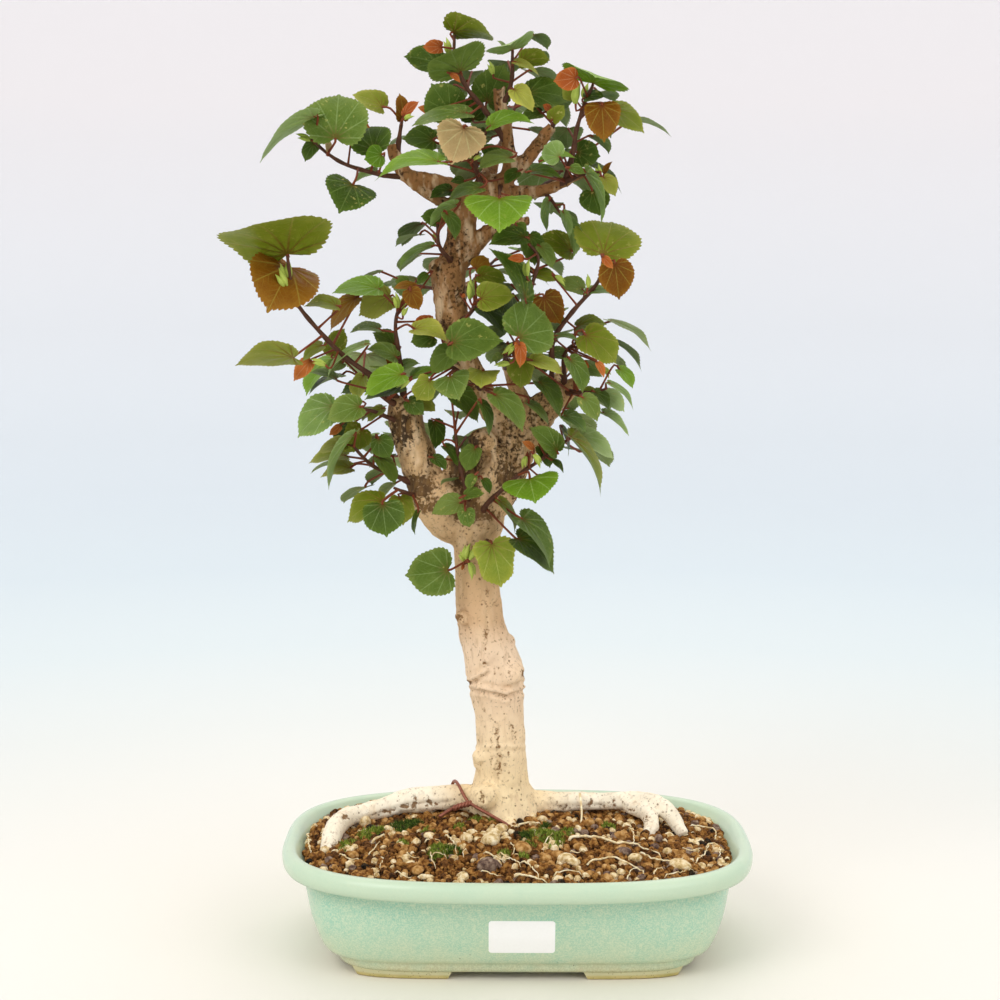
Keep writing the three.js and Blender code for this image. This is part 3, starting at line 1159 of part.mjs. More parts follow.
// Colours and finishes, by the start of a node's name
const FINISHES = [
  ["pot", { color: 0x98cdb8, roughness: 0.3 }],
  ["drain", { color: 0x26282a, roughness: 0.7 }],
  ["soil", { color: 0x7a4a22, roughness: 0.95 }],
  ["tree", { color: 0xd9b48f, roughness: 0.85 }],
  ["tie_wire", { color: 0xa0605a, roughness: 0.4, metalness: 0.8 }],
  ["blank_label", { color: 0xf2f2ee, roughness: 0.5 }],
  ["leaf_crown", { color: 0x6fae3a, roughness: 0.5 }],
  ["shoot_back", { color: 0x35602c, roughness: 0.5 }],
  ["sprout", { color: 0x55803a, roughness: 0.5 }],
  ["shoot", { color: 0x44752f, roughness: 0.5 }],
];

const group = new THREE.Group();
group.name = "sea_hibiscus_bonsai";
const box = new THREE.Box3();
const meshes = NODES.map(([name, made]) => {
  const m = made.getMesh();
  const positions = new Float32Array(m.numVert * 3);
  for (let i = 0; i < m.numVert; i++)
    positions.set(m.vertProperties.subarray(i * m.numProp, i * m.numProp + 3), i * 3);
  const geometry = new THREE.BufferGeometry();
  geometry.setAttribute("position", new THREE.BufferAttribute(positions, 3));
  geometry.setIndex(new THREE.BufferAttribute(new Uint32Array(m.triVerts), 1));
  geometry.computeBoundingBox();
  box.union(geometry.boundingBox);
  const [, finish] = FINISHES.find(([start]) => name.startsWith(start));
  const mesh = new THREE.Mesh(geometry, new THREE.MeshStandardMaterial(finish));
  mesh.name = name;
  return mesh;
});
const centre = box.getCenter(new THREE.Vector3());
for (const mesh of meshes) {
  mesh.geometry.translate(-centre.x, -centre.y, -box.min.z);
  group.add(mesh);
}

export default group;
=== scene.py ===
import math

import bpy
import numpy as np
from mathutils import Matrix, Vector, noise


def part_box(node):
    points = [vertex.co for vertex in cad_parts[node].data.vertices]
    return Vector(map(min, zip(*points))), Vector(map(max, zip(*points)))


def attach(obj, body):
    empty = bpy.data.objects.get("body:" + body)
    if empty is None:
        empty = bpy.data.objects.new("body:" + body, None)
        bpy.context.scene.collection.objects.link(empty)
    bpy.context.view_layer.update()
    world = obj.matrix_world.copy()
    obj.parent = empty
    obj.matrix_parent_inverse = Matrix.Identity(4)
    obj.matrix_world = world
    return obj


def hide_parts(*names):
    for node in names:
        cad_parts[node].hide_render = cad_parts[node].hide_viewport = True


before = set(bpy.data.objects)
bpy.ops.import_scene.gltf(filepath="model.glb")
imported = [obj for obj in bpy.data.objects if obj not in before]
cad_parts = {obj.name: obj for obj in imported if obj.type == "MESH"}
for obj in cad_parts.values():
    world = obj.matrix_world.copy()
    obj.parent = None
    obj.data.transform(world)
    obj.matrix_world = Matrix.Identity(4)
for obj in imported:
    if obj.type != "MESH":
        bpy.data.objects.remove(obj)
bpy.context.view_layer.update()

# The view. A potted tree on a pale seamless studio surface, seen from 1.1 m in front of the
# trunk and a little above it. Big soft lights stand round it, so that its shadows are faint.
MM = 0.001
POT_LOW, POT_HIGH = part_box("pot")
MIDDLE = np.array([POT_LOW.x + POT_HIGH.x, POT_LOW.y + POT_HIGH.y, 0]) / 2 / MM
EYE = np.array([-9.745, -1100, 360.27])  # mm from the middle of the pot's underside
EYE_PITCH, EYE_ROLL = 6.307, 0.167  # degrees down, and round the line of sight
LENS, SENSOR = 75.09, 36
# Place and size of each lamp in m and its power in W; all are turned to one point
LAMPS = [((-1.1, -1.3, 1.5), 1.2, 15), ((1.2, -1.1, 1.1), 1.3, 6), ((0.1, 0.9, 1.7), 1.6, 8)]
LAMPS_MEET = (0, 0, 0.22)
SKY_STRENGTH = 0.9


def metres(points):
    """Points in mm round the pot's middle, in metres in the shared frame."""
    return (np.asarray(points, float) + MIDDLE) * MM


def linear(code):
    """An sRGB hex colour as the linear values that a shader takes."""
    shares = [int(code[i : i + 2], 16) / 255 for i in (1, 3, 5)]
    return (*[s / 12.92 if s <= 0.04045 else ((s + 0.055) / 1.055) ** 2.4 for s in shares], 1)


def new_object(name, data):
    """An object at the origin, in the scene."""
    made = bpy.data.objects.new(name, data)
    bpy.context.scene.collection.objects.link(made)
    return made


camera = new_object("camera", bpy.data.cameras.new("camera"))
camera.data.lens, camera.data.sensor_width = LENS, SENSOR
camera.matrix_world = (
    Matrix.Translation(Vector(metres(EYE)))
    @ Matrix.Rotation(math.radians(90 - EYE_PITCH), 4, "X")
    @ Matrix.Rotation(math.radians(EYE_ROLL), 4, "Z")
)
bpy.context.scene.camera = camera
bpy.context.scene.view_settings.view_transform = "Standard"
for place, size, power in LAMPS:
    lamp = new_object("softbox", bpy.data.lights.new("softbox", "AREA"))
    lamp.data.size, lamp.data.energy = size, power
    lamp.location = place
    lamp.rotation_euler = (Vector(LAMPS_MEET) - lamp.location).to_track_quat("-Z", "Y").to_euler()
world = bpy.data.worlds.new("studio")
world.use_nodes = True
sky = world.node_tree.nodes["Background"].inputs
sky["Color"].default_value = linear("#FBF8F6")
sky["Strength"].default_value = SKY_STRENGTH
bpy.context.scene.world = world

# The studio surface: a matt paper sweep, flat round the pot and rising in a wide curve
SWEEP = [(0.02, 0), (0.6, 0), (1.4, 0), (2.2, 0), (2.6, 0.06), (2.95, 0.24), (3.2, 0.6), (3.3, 1.2),
         (3.3, 2.2)]  # radius and height in m
SWEEP_SIDES = 96


def new_mesh(name, points, faces):
    """A mesh of points in metres."""
    made = bpy.data.meshes.new(name)
    made.from_pydata(np.asarray(points).tolist(), [], faces)
    return made


def quads(rings, sides):
    """The faces between closed rings of points that follow one another."""
    return [(i * sides + j, i * sides + (j + 1) % sides, (i + 1) * sides + (j + 1) % sides,
             (i + 1) * sides + j) for i in range(rings - 1) for j in range(sides)]


def add_node(tree, kind, inputs=None, **settings):
    """A new node with its settings and its inputs, each a value or the socket it is linked to."""
    made = tree.nodes.new(kind)
    for key, value in settings.items():
        setattr(made, key, value)
    for key, value in (inputs or {}).items():
        if isinstance(value, bpy.types.NodeSocket):
            tree.links.new(value, made.inputs[key])
        else:
            made.inputs[key].default_value = value
    return made


def new_surface(name, **values):
    """A node material with its Principled shader's own sockets set, its tree and the place."""
    made = bpy.data.materials.new(name)
    made.use_nodes = True
    tree = made.node_tree
    for key, value in values.items():
        tree.nodes["Principled BSDF"].inputs[key.replace("_", " ")].default_value = value
    return made, tree, add_node(tree, "ShaderNodeTexCoord").outputs["Object"]


def finish(tree, colour, relief=None, strength=0, distance=0):
    """Gives a surface its colour, and a relief in metres."""
    shader = tree.nodes["Principled BSDF"].inputs
    tree.links.new(colour, shader["Base Color"])
    if relief is not None:
        bump = add_node(tree, "ShaderNodeBump", {"Height": relief, "Strength": strength,
                        "Distance": distance})
        tree.links.new(bump.outputs[0], shader["Normal"])


def axis(tree, vector, letter):
    """One coordinate of a vector."""
    return add_node(tree, "ShaderNodeSeparateXYZ", {0: vector}).outputs[letter]


def remap(tree, value, low, high, start=0, end=1):
    """From start to end as the value goes from low to high, and held beyond."""
    return add_node(tree, "ShaderNodeMapRange",
                    {0: value, 1: low, 2: high, 3: start, 4: end}).outputs[0]


def blend(tree, share, under, over):
    """Two colours, each a hex code or a socket, the second laid over the first by a share."""
    under, over = (linear(one) if isinstance(one, str) else one for one in (under, over))
    return add_node(tree, "ShaderNodeMix", {0: share, 6: under, 7: over},
                    data_type="RGBA").outputs[2]


def ramp(tree, share, *stops):
    """A colour that runs through stops of a position and a hex code each."""
    made = add_node(tree, "ShaderNodeValToRGB", {0: share})
    elements = made.color_ramp.elements
    elements[0].position, elements[1].position = stops[0][0], stops[-1][0]
    for position, _ in stops[1:-1]:
        elements.new(position)
    for element, (_, code) in zip(elements, stops):
        element.color = linear(code)
    return made.outputs[0]


sweep_points = [(r * math.cos(2 * math.pi * j / SWEEP_SIDES),
                 r * math.sin(2 * math.pi * j / SWEEP_SIDES), z)
                for r, z in SWEEP for j in range(SWEEP_SIDES)]
sweep_faces = quads(len(SWEEP), SWEEP_SIDES) + [tuple(range(SWEEP_SIDES))]
sweep = new_object("sweep", new_mesh("sweep", sweep_points, [f[::-1] for f in sweep_faces]))
sweep.data.shade_smooth()
# Matt paper with painted light and shade in its colour: a warm painted glow where the pot stands,
# painted shade, darker and cooler, from about 0.6 to 1.5 m out, lighter again further back, and
# paler up the rising wall
paper, tree, place = new_surface("matt_paper", Roughness=0.9)
away = add_node(tree, "ShaderNodeVectorMath", {0: place}, operation="LENGTH").outputs["Value"]
painted_falloff_tint = ramp(tree, remap(tree, away, 0, 3), (0, "#F2ECDF"), (0.11, "#EAE9E2"), (0.19, "#E2E6E3"),
            (0.3, "#DBE5E7"), (0.47, "#DAE6EC"), (0.73, "#E5F0F7"), (1, "#EAF4FB"))
finish(tree, blend(tree, remap(tree, axis(tree, place, "Z"), 0, 0.7), painted_falloff_tint, "#FCF8F9"))
sweep.data.materials.append(paper)

# The pot: stoneware pressed in an oval mould, with a rolled lip that overhangs a rounded belly,
# a groove above a squarer base band, and a turquoise glaze that runs thin at the lip.
RIM_HALF_WIDTH = 125
RIM_HALF_DEPTH = 98
POT_SIDES = 176
# Height, inset from the lip's outside, exponent of the plan's superellipse, extra inset of the ends
POT_WALL = [
    (4, 30, 6, 3), (4.2, 28.6, 6, 3), (5.4, 27.7, 6, 3), (7.6, 27, 6, 3), (8.6, 27.2, 6, 3),
    (9.1, 26.9, 5.8, 2), (9.6, 25.3, 5.5, 0.6), (10.4, 24.1, 5.4, 0), (12.4, 22.3, 5.2, 0),
    (16, 20.4, 5, 0), (21, 18.2, 4.7, 0), (26, 16.2, 4.4, 0), (32, 14.5, 4.05, 0),
    (38, 13, 3.7, 0), (43, 11.2, 3.3, 0), (46, 10, 3.05, 0), (47, 8.8, 3, 0), (47.2, 6, 3, 0),
    (47.3, 3.2, 3, 0), (47.9, 1.6, 3, 0), (49.4, 0.6, 3, 0), (51.6, 0.1, 3, 0), (54, 0, 3, 0),
    (56, 0.6, 3, 0), (57.4, 2, 3, 0), (58, 3.8, 3, 0), (57.7, 5.8, 3, 0), (56.4, 7.4, 3, 0),
    (53, 9.6, 3.05, 0), (48, 13.2, 3.2, 0), (44, 16, 3.3, 0), (32, 20, 4, 0), (20, 25, 4.6, 0),
    (12, 32, 4.9, 0), (10, 36, 5, 0),
]
UNDERSIDE = (31, 5, 3, 4.6)  # inset, exponent, extra inset and height
INNER_FLOOR = (37, 4, 0, 10)
DRAIN_X, DRAIN_RADIUS, DRAIN_SIDES = 45, 8, 40
CREASE_ANGLE = 50  # degrees from which an edge is drawn sharp


def plan_ring(inset, power, end, height, sides=POT_SIDES, share=1.0):
    """One level ring of the pot's plan."""
    angle = 2 * math.pi * (np.arange(sides) + 0.5) / sides
    across = np.abs(np.cos(angle)) / (RIM_HALF_WIDTH - inset - end)
    deep = np.abs(np.sin(angle)) / (RIM_HALF_DEPTH - inset)
    reach = share * (across**power + deep**power) ** (-1 / power)
    return np.stack([np.cos(angle) * reach, np.sin(angle) * reach, np.full(sides, height)], 1)


def facing_out(points, faces):
    """The faces of a closed skin, turned round if they point inwards."""
    corners = points[np.array([(face[0], face[i], face[i + 1])
                               for face in faces for i in range(1, len(face) - 1)])]
    volume = (corners[:, 0] * np.cross(corners[:, 1], corners[:, 2])).sum()
    return [face[::-1] for face in faces] if volume < 0 else faces


def loft(rings):
    """Points and faces of a closed skin over rings of equal count, with a fan over each end."""
    count = len(rings[0])
    points = np.concatenate([*rings, [np.mean(rings[0], 0)], [np.mean(rings[-1], 0)]])
    faces = quads(len(rings), count)
    last = (len(rings) - 1) * count
    for j in range(count):
        faces.append((len(points) - 2, (j + 1) % count, j))
        faces.append((len(points) - 1, last + j, last + (j + 1) % count))
    return points, facing_out(points, faces)


def together(parts):
    """Several lists of points and faces as one."""
    points, faces, shift = [], [], 0
    for some_points, some_faces in parts:
        points.append(some_points)
        faces += [tuple(i + shift for i in face) for face in some_faces]
        shift += len(some_points)
    return np.concatenate(points), faces


def make_piece(name, points, faces, materials, slot, replaced=(), smooth=True):
    """A piece of the object from points in mm round the pot's middle."""
    made = new_object(name, new_mesh(name, metres(points), faces))
    for material in materials:
        made.data.materials.append(material)
    if smooth:
        made.data.shade_smooth()
    return settle_piece(made, replaced)


def settle_piece(made, replaced=()):
    """Fixes a finished piece to the part and hides the imported parts that it replaces."""
    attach(made, "root")
    if replaced:
        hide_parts(*replaced)
    return made


def plain_copy(made, name):
    """The object with its modifiers applied, as a new object with a plain mesh."""
    bpy.context.view_layer.update()
    data = bpy.data.meshes.new_from_object(
        made.evaluated_get(bpy.context.evaluated_depsgraph_get()))
    data.name = name
    old = made.data
    bpy.data.objects.remove(made)
    bpy.data.meshes.remove(old)
    return new_object(name, data)


def reckon(tree, operation, *values):
    """The result of a maths node."""
    return add_node(tree, "ShaderNodeMath", dict(enumerate(values)), operation=operation).outputs[0]


def mottle(tree, place, scale, detail):
    """Smooth noise with lumps of about 1/scale m."""
    return add_node(tree, "ShaderNodeTexNoise",
                    {"Vector": place, "Scale": scale, "Detail": detail}).outputs["Fac"]


def specks(tree, place, scale, full, gone, share=1):
    """Dots scattered about 1/scale m apart: their share up to one radius, none from another."""
    cells = add_node(tree, "ShaderNodeTexVoronoi", {"Vector": place, "Scale": scale})
    return remap(tree, cells.outputs["Distance"], full, gone, share, 0)


pot_points, pot_faces = loft(
    [plan_ring(*UNDERSIDE, share=share) for share in (0.05, 0.4, 0.75, 0.98)]
    + [plan_ring(inset, power, end, height) for height, inset, power, end in POT_WALL]
    + [plan_ring(*INNER_FLOOR, share=share) for share in (0.9, 0.5, 0.05)]
)
pot = new_object("pot_blank", new_mesh("pot_blank", metres(pot_points), pot_faces))
drills = []
for x in (-DRAIN_X, DRAIN_X):
    bpy.ops.mesh.primitive_cylinder_add(vertices=DRAIN_SIDES, radius=DRAIN_RADIUS * MM, depth=0.03,
                                        location=metres((x, 0, 8)))
    drills.append(bpy.context.object)
    cut = pot.modifiers.new("drain", "BOOLEAN")
    cut.object, cut.solver = drills[-1], "EXACT"
pot = plain_copy(pot, "glazed_pot")
for drill in drills:
    bpy.data.objects.remove(drill)
pot.data.shade_smooth()
pot.data.set_sharp_from_angle(angle=math.radians(CREASE_ANGLE))

# Celadon glaze on stoneware, fired to a soft gloss: even pale mint at the lip, a greyer green on
# the body with cream flecks finer than 1 mm, creamier and yellower towards the bottom, a few iron
# specks, and painted shade: the body is darker just under the overhanging lip
celadon, tree, place = new_surface("celadon_glaze", Roughness=0.24, IOR=1.5,
                                   Specular_IOR_Level=0.4)
height = axis(tree, place, "Z")
# the stops at 0.66 and 0.78 are painted shade under the overhanging lip
skin = ramp(tree, remap(tree, height, 0.004, 0.058), (0, "#C0BA92"), (0.08, "#C6CAA6"),
            (0.16, "#BED0B0"), (0.4, "#ADCDB2"), (0.66, "#A2CAB1"), (0.78, "#A0C4AE"),
            (0.83, "#BED3B8"), (1, "#C6DABE"))
below_lip = remap(tree, height, 0.044, 0.05, 1, 0.2)
for scale, least, most, strength, code in ((60, 0.4, 0.7, 0.5, "#8CC6B0"),
                                           (1300, 0.42, 0.62, 0.5, "#DDE3C2"),
                                           (430, 0.52, 0.68, 0.35, "#D6DFC0")):
    fleck = remap(tree, mottle(tree, place, scale, 3), least, most, 0, strength)
    skin = blend(tree, reckon(tree, "MULTIPLY", fleck, below_lip), skin, code)
skin = blend(tree, specks(tree, place, 120, 0.03, 0.055, 0.6), skin, "#4E5A40")
finish(tree, skin, mottle(tree, place, 110, 1), 0.12, 0.0006)
pot.data.materials.clear()
pot.data.materials.append(celadon)
settle_piece(pot, ["pot"])

# Four low feet under the base band, of the same clay, wiped free of glaze before the firing
FOOT_SPANS = [(36, 82), (-82, -36)]
FOOT_COLUMNS, FOOT_DEPTH, FOOT_TOP = 20, 12, 5
FOOT_SPLAY = 3  # mm that a foot's ends lean out over its height
# Height above the ground and depth behind the base band
FOOT_PROFILE = [(0, 1), (0, FOOT_DEPTH - 1), (0.8, FOOT_DEPTH), (FOOT_TOP, FOOT_DEPTH + 1),
                (FOOT_TOP, 0.2), (0.8, 0)]
BAND_INSET, BAND_POWER, BAND_END = 29, 6, 3


def base_edge(x):
    """How far the base band's outside is from the middle line, at x."""
    share = abs(x) / (RIM_HALF_WIDTH - BAND_INSET - BAND_END)
    return (RIM_HALF_DEPTH - BAND_INSET) * (1 - share**BAND_POWER) ** (1 / BAND_POWER)


feet = []
for start, end in FOOT_SPANS:
    for front in (-1, 1):
        rings = []
        for x in np.linspace(start, end, FOOT_COLUMNS):
            share = (x - start) / (end - start)
            slope = FOOT_SPLAY * (2 * share - 1) * (1 if share in (0, 1) else 0.9)
            rings.append(np.array([(x + slope * z / FOOT_TOP, front * (base_edge(x) - y), z)
                                   for z, y in FOOT_PROFILE]))
        feet.append(loft(rings))
# Bare stoneware, sponged: matt olive-yellow at the floor, paler where thin glaze is left above it,
# with dark specks
clay, tree, place = new_surface("bare_stoneware", Roughness=0.7)
body = blend(tree, mottle(tree, place, 130, 5), "#A39A4C", "#D2BE86")
wiped = remap(tree, axis(tree, place, "Z"), 0.0016, 0.0026, 0, 0.75)
body = blend(tree, wiped, body, "#C9C8A2")
body = blend(tree, specks(tree, place, 700, 0.12, 0.2, 0.7), body, "#5E4A22")
finish(tree, body, mottle(tree, place, 1500, 2), 0.5, 0.0003)
make_piece("pot_feet", *together(feet), [clay], "celadon_glaze", ["pot"], smooth=False)

# Two squares of black plastic mesh over the drain holes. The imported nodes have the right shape
# and stay; they only get their finish: moulded polypropylene, dull and faintly gritty.
SCREENS = ("drain_screen_left", "drain_screen_right")


def two_toned(name, low, high, scale, detail, strength=None, **values):
    """A surface between two colours in lumps of about 1/scale m, which may stand in relief."""
    made, tree, place = new_surface(name, **values)
    grit = mottle(tree, place, scale, detail)
    finish(tree, blend(tree, grit, low, high), grit if strength else None, strength, 0.0003)
    return made


mesh_plastic = two_toned("moulded_polypropylene", "#141516", "#2A2C2E", 900, 2, Roughness=0.6)
for name in SCREENS:
    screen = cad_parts[name]
    for holder in screen.material_slots:
        holder.material = mesh_plastic

# The soil: granular clay mixed with pumice and lava, heaped round the trunk. A bed of dark fines
# fills the pot, and the loose grains, pebbles, moss and fine roots lie on it.
SOIL_EDGE = 49.5  # mm above the ground at the ends of the pot
SOIL_MOUND = 17.5
MOUND_ACROSS, MOUND_DEEP = (-4, 97, 3.5), (8, 76, 2.5)  # middle, half width, squareness
SOIL_REACH, SOIL_POWER = 12.4, 3.2  # inset of the soil's edge from the lip's outside, its exponent
BED_SIDES, BED_RINGS = 144, 34
BED_FLOOR = 10.35
BED_SINK, BED_LUMPS, LUMP_SIZE = 1.6, 0.9, 5  # mm: the fines under the soil's outline, their lumps
GROUND_LIFT = 1.2  # of the grains' middles above the fines
# Inset, exponent and height of the bed's side, just inside the pot's
BED_WALL = [(37, 5, BED_FLOOR), (32, 4.9, 12.3), (25, 4.6, 20), (20, 4, 32), (16, 3.3, 44)]
BED_GAP = 0.4


def soil_height(x, y):
    wide, deep = (np.exp(-((np.abs(place - middle) / half) ** power))
                  for place, (middle, half, power) in ((x, MOUND_ACROSS), (y, MOUND_DEEP)))
    return SOIL_EDGE + SOIL_MOUND * wide * deep


def fields(points, scale, detail=3, shift=0.0):
    """Smooth random values from about -1 to 1 at points in mm, with lumps of scale mm."""
    return np.array([
        noise.fractal(Vector((p / scale + shift).tolist()), 1.0, 2.0, detail) for p in points])


outline = plan_ring(SOIL_REACH, SOIL_POWER, 0, 0, BED_SIDES)
top_rings = []
for share in np.linspace(0.02, 1, BED_RINGS):
    ring = outline * (share, share, 0)
    ring[:, 2] = (soil_height(ring[:, 0], ring[:, 1]) - BED_SINK
                  + BED_LUMPS * fields(ring, LUMP_SIZE))
    top_rings.append(ring)
bed_rings = [plan_ring(38, 4, 0, BED_FLOOR, BED_SIDES, share) for share in (0.02, 0.9)]
bed_rings += [plan_ring(inset + BED_GAP, power, 0, height, BED_SIDES)
              for inset, power, height in BED_WALL]
# Damp fines of fired clay and humus, matt, of grains finer than a millimetre
fines, tree, place = new_surface("damp_soil_fines", Roughness=0.95, Specular_IOR_Level=0.2)
clod = mottle(tree, place, 420, 6)
finish(tree, ramp(tree, clod, (0.35, "#24150A"), (0.7, "#7E5228")), clod, 1, 0.001)
make_piece("soil_bed", *loft(bed_rings + top_rings[::-1]), [fines], "soil", ["soil"])

# Loose grains: kiln-baked clay in three browns, cream pumice, mauve-grey lava and dark bark bits,
# 3 to 7 mm across, riddled and poured, with crumbs of 1 to 2 mm between them. Each kind has its
# place between two shares of all the grains.
GRAINS = [
    ("grains_brown", 0, 0.47, "baked_clay"), ("grains_dark", 0.47, 0.67, "damp_clay"),
    ("grains_tan", 0.67, 0.79, "tan_baked_clay"), ("grains_pumice", 0.79, 0.92, "cream_pumice"),
    ("grains_lava", 0.92, 0.97, "lava_grit"), ("grains_black", 0.97, 1.01, "charred_bark"),
]
GRAIN_SHAPES, SHAPE_APART = 4, 3.7  # lumpy forms that the grains are picked from


def new_scatter(name, inputs, density):
    """A Geometry Nodes tree with named inputs, and points spread over its ground."""
    made = bpy.data.node_groups.new(name, "GeometryNodeTree")
    made.is_modifier = True
    for key, kind in inputs.items():
        made.interface.new_socket(key, in_out="INPUT", socket_type="NodeSocket" + kind)
    made.interface.new_socket("Result", in_out="OUTPUT", socket_type="NodeSocketGeometry")
    given = add_node(made, "NodeGroupInput").outputs
    spread = add_node(made, "GeometryNodeDistributePointsOnFaces", {
        "Mesh": given["Ground"], "Distance Min": given["Spacing"], "Density Max": density,
        "Seed": given["Seed"]}, distribute_method="POISSON")
    return made, given, spread.outputs["Points"]


def end_scatter(tree, given, points, shape, turn, scale, pick=False):
    """Lays a shape or a pick of shapes on the points, as one real mesh with its material."""
    laid = add_node(tree, "GeometryNodeInstanceOnPoints", {
        "Points": points, "Instance": shape, "Pick Instance": pick, "Rotation": turn,
        "Scale": scale})
    single = add_node(tree, "GeometryNodeRealizeInstances", {0: laid.outputs[0]})
    dressed = add_node(tree, "GeometryNodeSetMaterial", {
        "Geometry": single.outputs[0], "Material": given["Material"]})
    add_node(tree, "NodeGroupOutput", {0: dressed.outputs[0]})


def random_share(tree, low, high, seed):
    """A random number for each point."""
    return add_node(tree, "FunctionNodeRandomValue", {2: low, 3: high, "Seed": seed}).outputs[1]


def random_vector(tree, low, high, seed):
    return add_node(tree, "FunctionNodeRandomValue", {0: low, 1: high, "Seed": seed},
                    data_type="FLOAT_VECTOR").outputs[0]


def scaled(tree, vector, factor):
    return add_node(tree, "ShaderNodeVectorMath", {0: vector, "Scale": factor},
                    operation="SCALE").outputs[0]


scatter, given, points = new_scatter("scatter_grains", {
    "Ground": "Geometry", "Spacing": "Float", "Size from": "Float", "Size to": "Float",
    "Share from": "Float", "Share to": "Float", "Roughness": "Float", "Fineness": "Int",
    "Seed": "Int", "Material": "Material"}, 4.0e5)
lot = random_share(scatter, 0, 1, 5)
below = add_node(scatter, "FunctionNodeCompare", {0: lot, 1: given["Share from"]},
                 operation="LESS_THAN").outputs[0]
above = add_node(scatter, "FunctionNodeCompare", {0: lot, 1: given["Share to"]},
                 operation="GREATER_EQUAL").outputs[0]
others = add_node(scatter, "FunctionNodeBooleanMath", {0: below, 1: above}, operation="OR")
kept = add_node(scatter, "GeometryNodeDeleteGeometry", {
    "Geometry": points, "Selection": others.outputs[0]}, domain="POINT").outputs[0]
shapes = add_node(scatter, "GeometryNodeJoinGeometry")
for variant in range(GRAIN_SHAPES):
    ball = add_node(scatter, "GeometryNodeMeshIcoSphere", {
        "Radius": 1.0, "Subdivisions": given["Fineness"]})
    where = add_node(scatter, "GeometryNodeInputPosition").outputs[0]
    lump = add_node(scatter, "ShaderNodeTexNoise", {
        "Vector": where, "W": SHAPE_APART * variant, "Scale": 1.7, "Detail": 3.0},
        noise_dimensions="4D")
    centred = add_node(scatter, "ShaderNodeVectorMath", {
        0: lump.outputs["Color"], 1: (-0.5, -0.5, -0.5)}, operation="ADD").outputs[0]
    moved = add_node(scatter, "GeometryNodeSetPosition", {
        "Geometry": ball.outputs["Mesh"], "Offset": scaled(scatter, centred, given["Roughness"])})
    alone = add_node(scatter, "GeometryNodeGeometryToInstance", {0: moved.outputs[0]})
    scatter.links.new(alone.outputs[0], shapes.inputs[0])
turn = random_vector(scatter, (0, 0, 0), (6.28, 6.28, 6.28), 11)
size = random_share(scatter, given["Size from"], given["Size to"], 12)
squash = random_vector(scatter, (0.7, 0.7, 0.6), (1.15, 1.1, 1), 13)
end_scatter(scatter, given, kept, shapes.outputs[0], turn, scaled(scatter, squash, size), True)


def grow_on(tree, ground, name, values):
    """The ground's mesh run through a node tree, as a new object with a plain mesh."""
    made = new_object(name, ground.copy())
    run = made.modifiers.new("grow", "NODES")
    run.node_group = tree
    for item in tree.interface.items_tree:
        if item.in_out == "INPUT" and item.name in values:
            run[item.identifier] = values[item.name]
    return plain_copy(made, name)


def stone_surface(name, codes, scale, roughness=0.92, strength=0.8):
    """A porous mineral: three tones in blotches of 1/scale m, pitted."""
    made, tree, place = new_surface(name, Roughness=roughness, Specular_IOR_Level=0.2)
    blotched = ramp(tree, mottle(tree, place, scale, 5), *zip((0.36, 0.5, 0.64), codes))
    finish(tree, blotched, mottle(tree, place, 1400, 3), strength, 0.0006)
    return made


# Each kind's dark, middle and light tone, and how fine its blotches are
mineral = {name: stone_surface(name, codes, scale) for name, scale, *codes in (
    ("cream_pumice", 420, "#B89A64", "#E2C896", "#F8EAC6"),
    ("tan_baked_clay", 380, "#8E6430", "#B4854A", "#D2AA70"),
    ("baked_clay", 420, "#4A2A0C", "#865826", "#B28446"),
    ("damp_clay", 420, "#2A1808", "#5A3818", "#7E542A"),
    ("lava_grit", 420, "#54403A", "#806858", "#A08C78"),
    ("charred_bark", 420, "#120E08", "#2A2014", "#443422"),
)}
ground_points = np.concatenate(top_rings) + (0, 0, GROUND_LIFT)
ground = new_mesh("ground", metres(ground_points),
                  [face[::-1] for face in quads(BED_RINGS, BED_SIDES)])
for name, share_from, share_to, kind in GRAINS:
    grains = grow_on(scatter, ground, name, {
        "Spacing": 0.003, "Size from": 0.0014, "Size to": 0.0031, "Share from": share_from,
        "Share to": share_to, "Roughness": 1.1, "Fineness": 2, "Seed": 3,
        "Material": mineral[kind]})
    settle_piece(grains)
crumbs = grow_on(scatter, ground, "grains_crumbs", {
    "Spacing": 0.0018, "Size from": 0.0006, "Size to": 0.0014, "Share from": 0.0, "Share to": 1.0,
    "Roughness": 0.7, "Fineness": 1, "Seed": 8, "Material": mineral["baked_clay"]})
settle_piece(crumbs)

# The larger stones that the front view shows: x, z, radius in mm; pumice, tan clay, then mauve
# lava. Each is put where its line of sight meets the soil.
PUMICE_STONES = [
    (-82, 61.5, 3), (-67.5, 58, 2.6), (-47, 55, 2.4), (-27, 54, 2.6), (-15, 51, 4.6),
    (-13, 56, 3.4), (-9, 58, 3.4), (-6, 53, 2.6), (14, 64, 2.6), (26, 42, 3.4), (30, 39.5, 3),
    (-38, 57, 2.4), (11, 38, 2.4), (87, 38, 2.6), (-30, 32, 3.2), (-50, 32, 2.6), (-104, 47, 2.4),
    (62, 42, 2.6), (81, 47, 2.2), (99, 52, 2.2),
]
TAN_STONES = [
    (39, 62, 2.6), (46, 62, 2.6), (34, 49, 2.6), (22, 45, 2.6), (15, 42, 2.4), (91, 42, 2.6),
    (-54, 35, 2.8), (-62, 38, 2.8), (-88, 44, 2.6), (55, 55, 2.4), (70, 38, 2.8), (48, 38, 2.6),
    (-72, 46, 2.4), (2, 47, 2.6),
]
MAUVE_STONES = [(-16, 37, 3.8), (-10, 38.5, 3), (-93, 54, 2.4), (58, 47, 2.6), (76, 53, 2.4)]
SIGHT_NEAR, SIGHT_FAR, SIGHT_STEP = -92, 60, 0.5  # depths at which sight may meet the soil
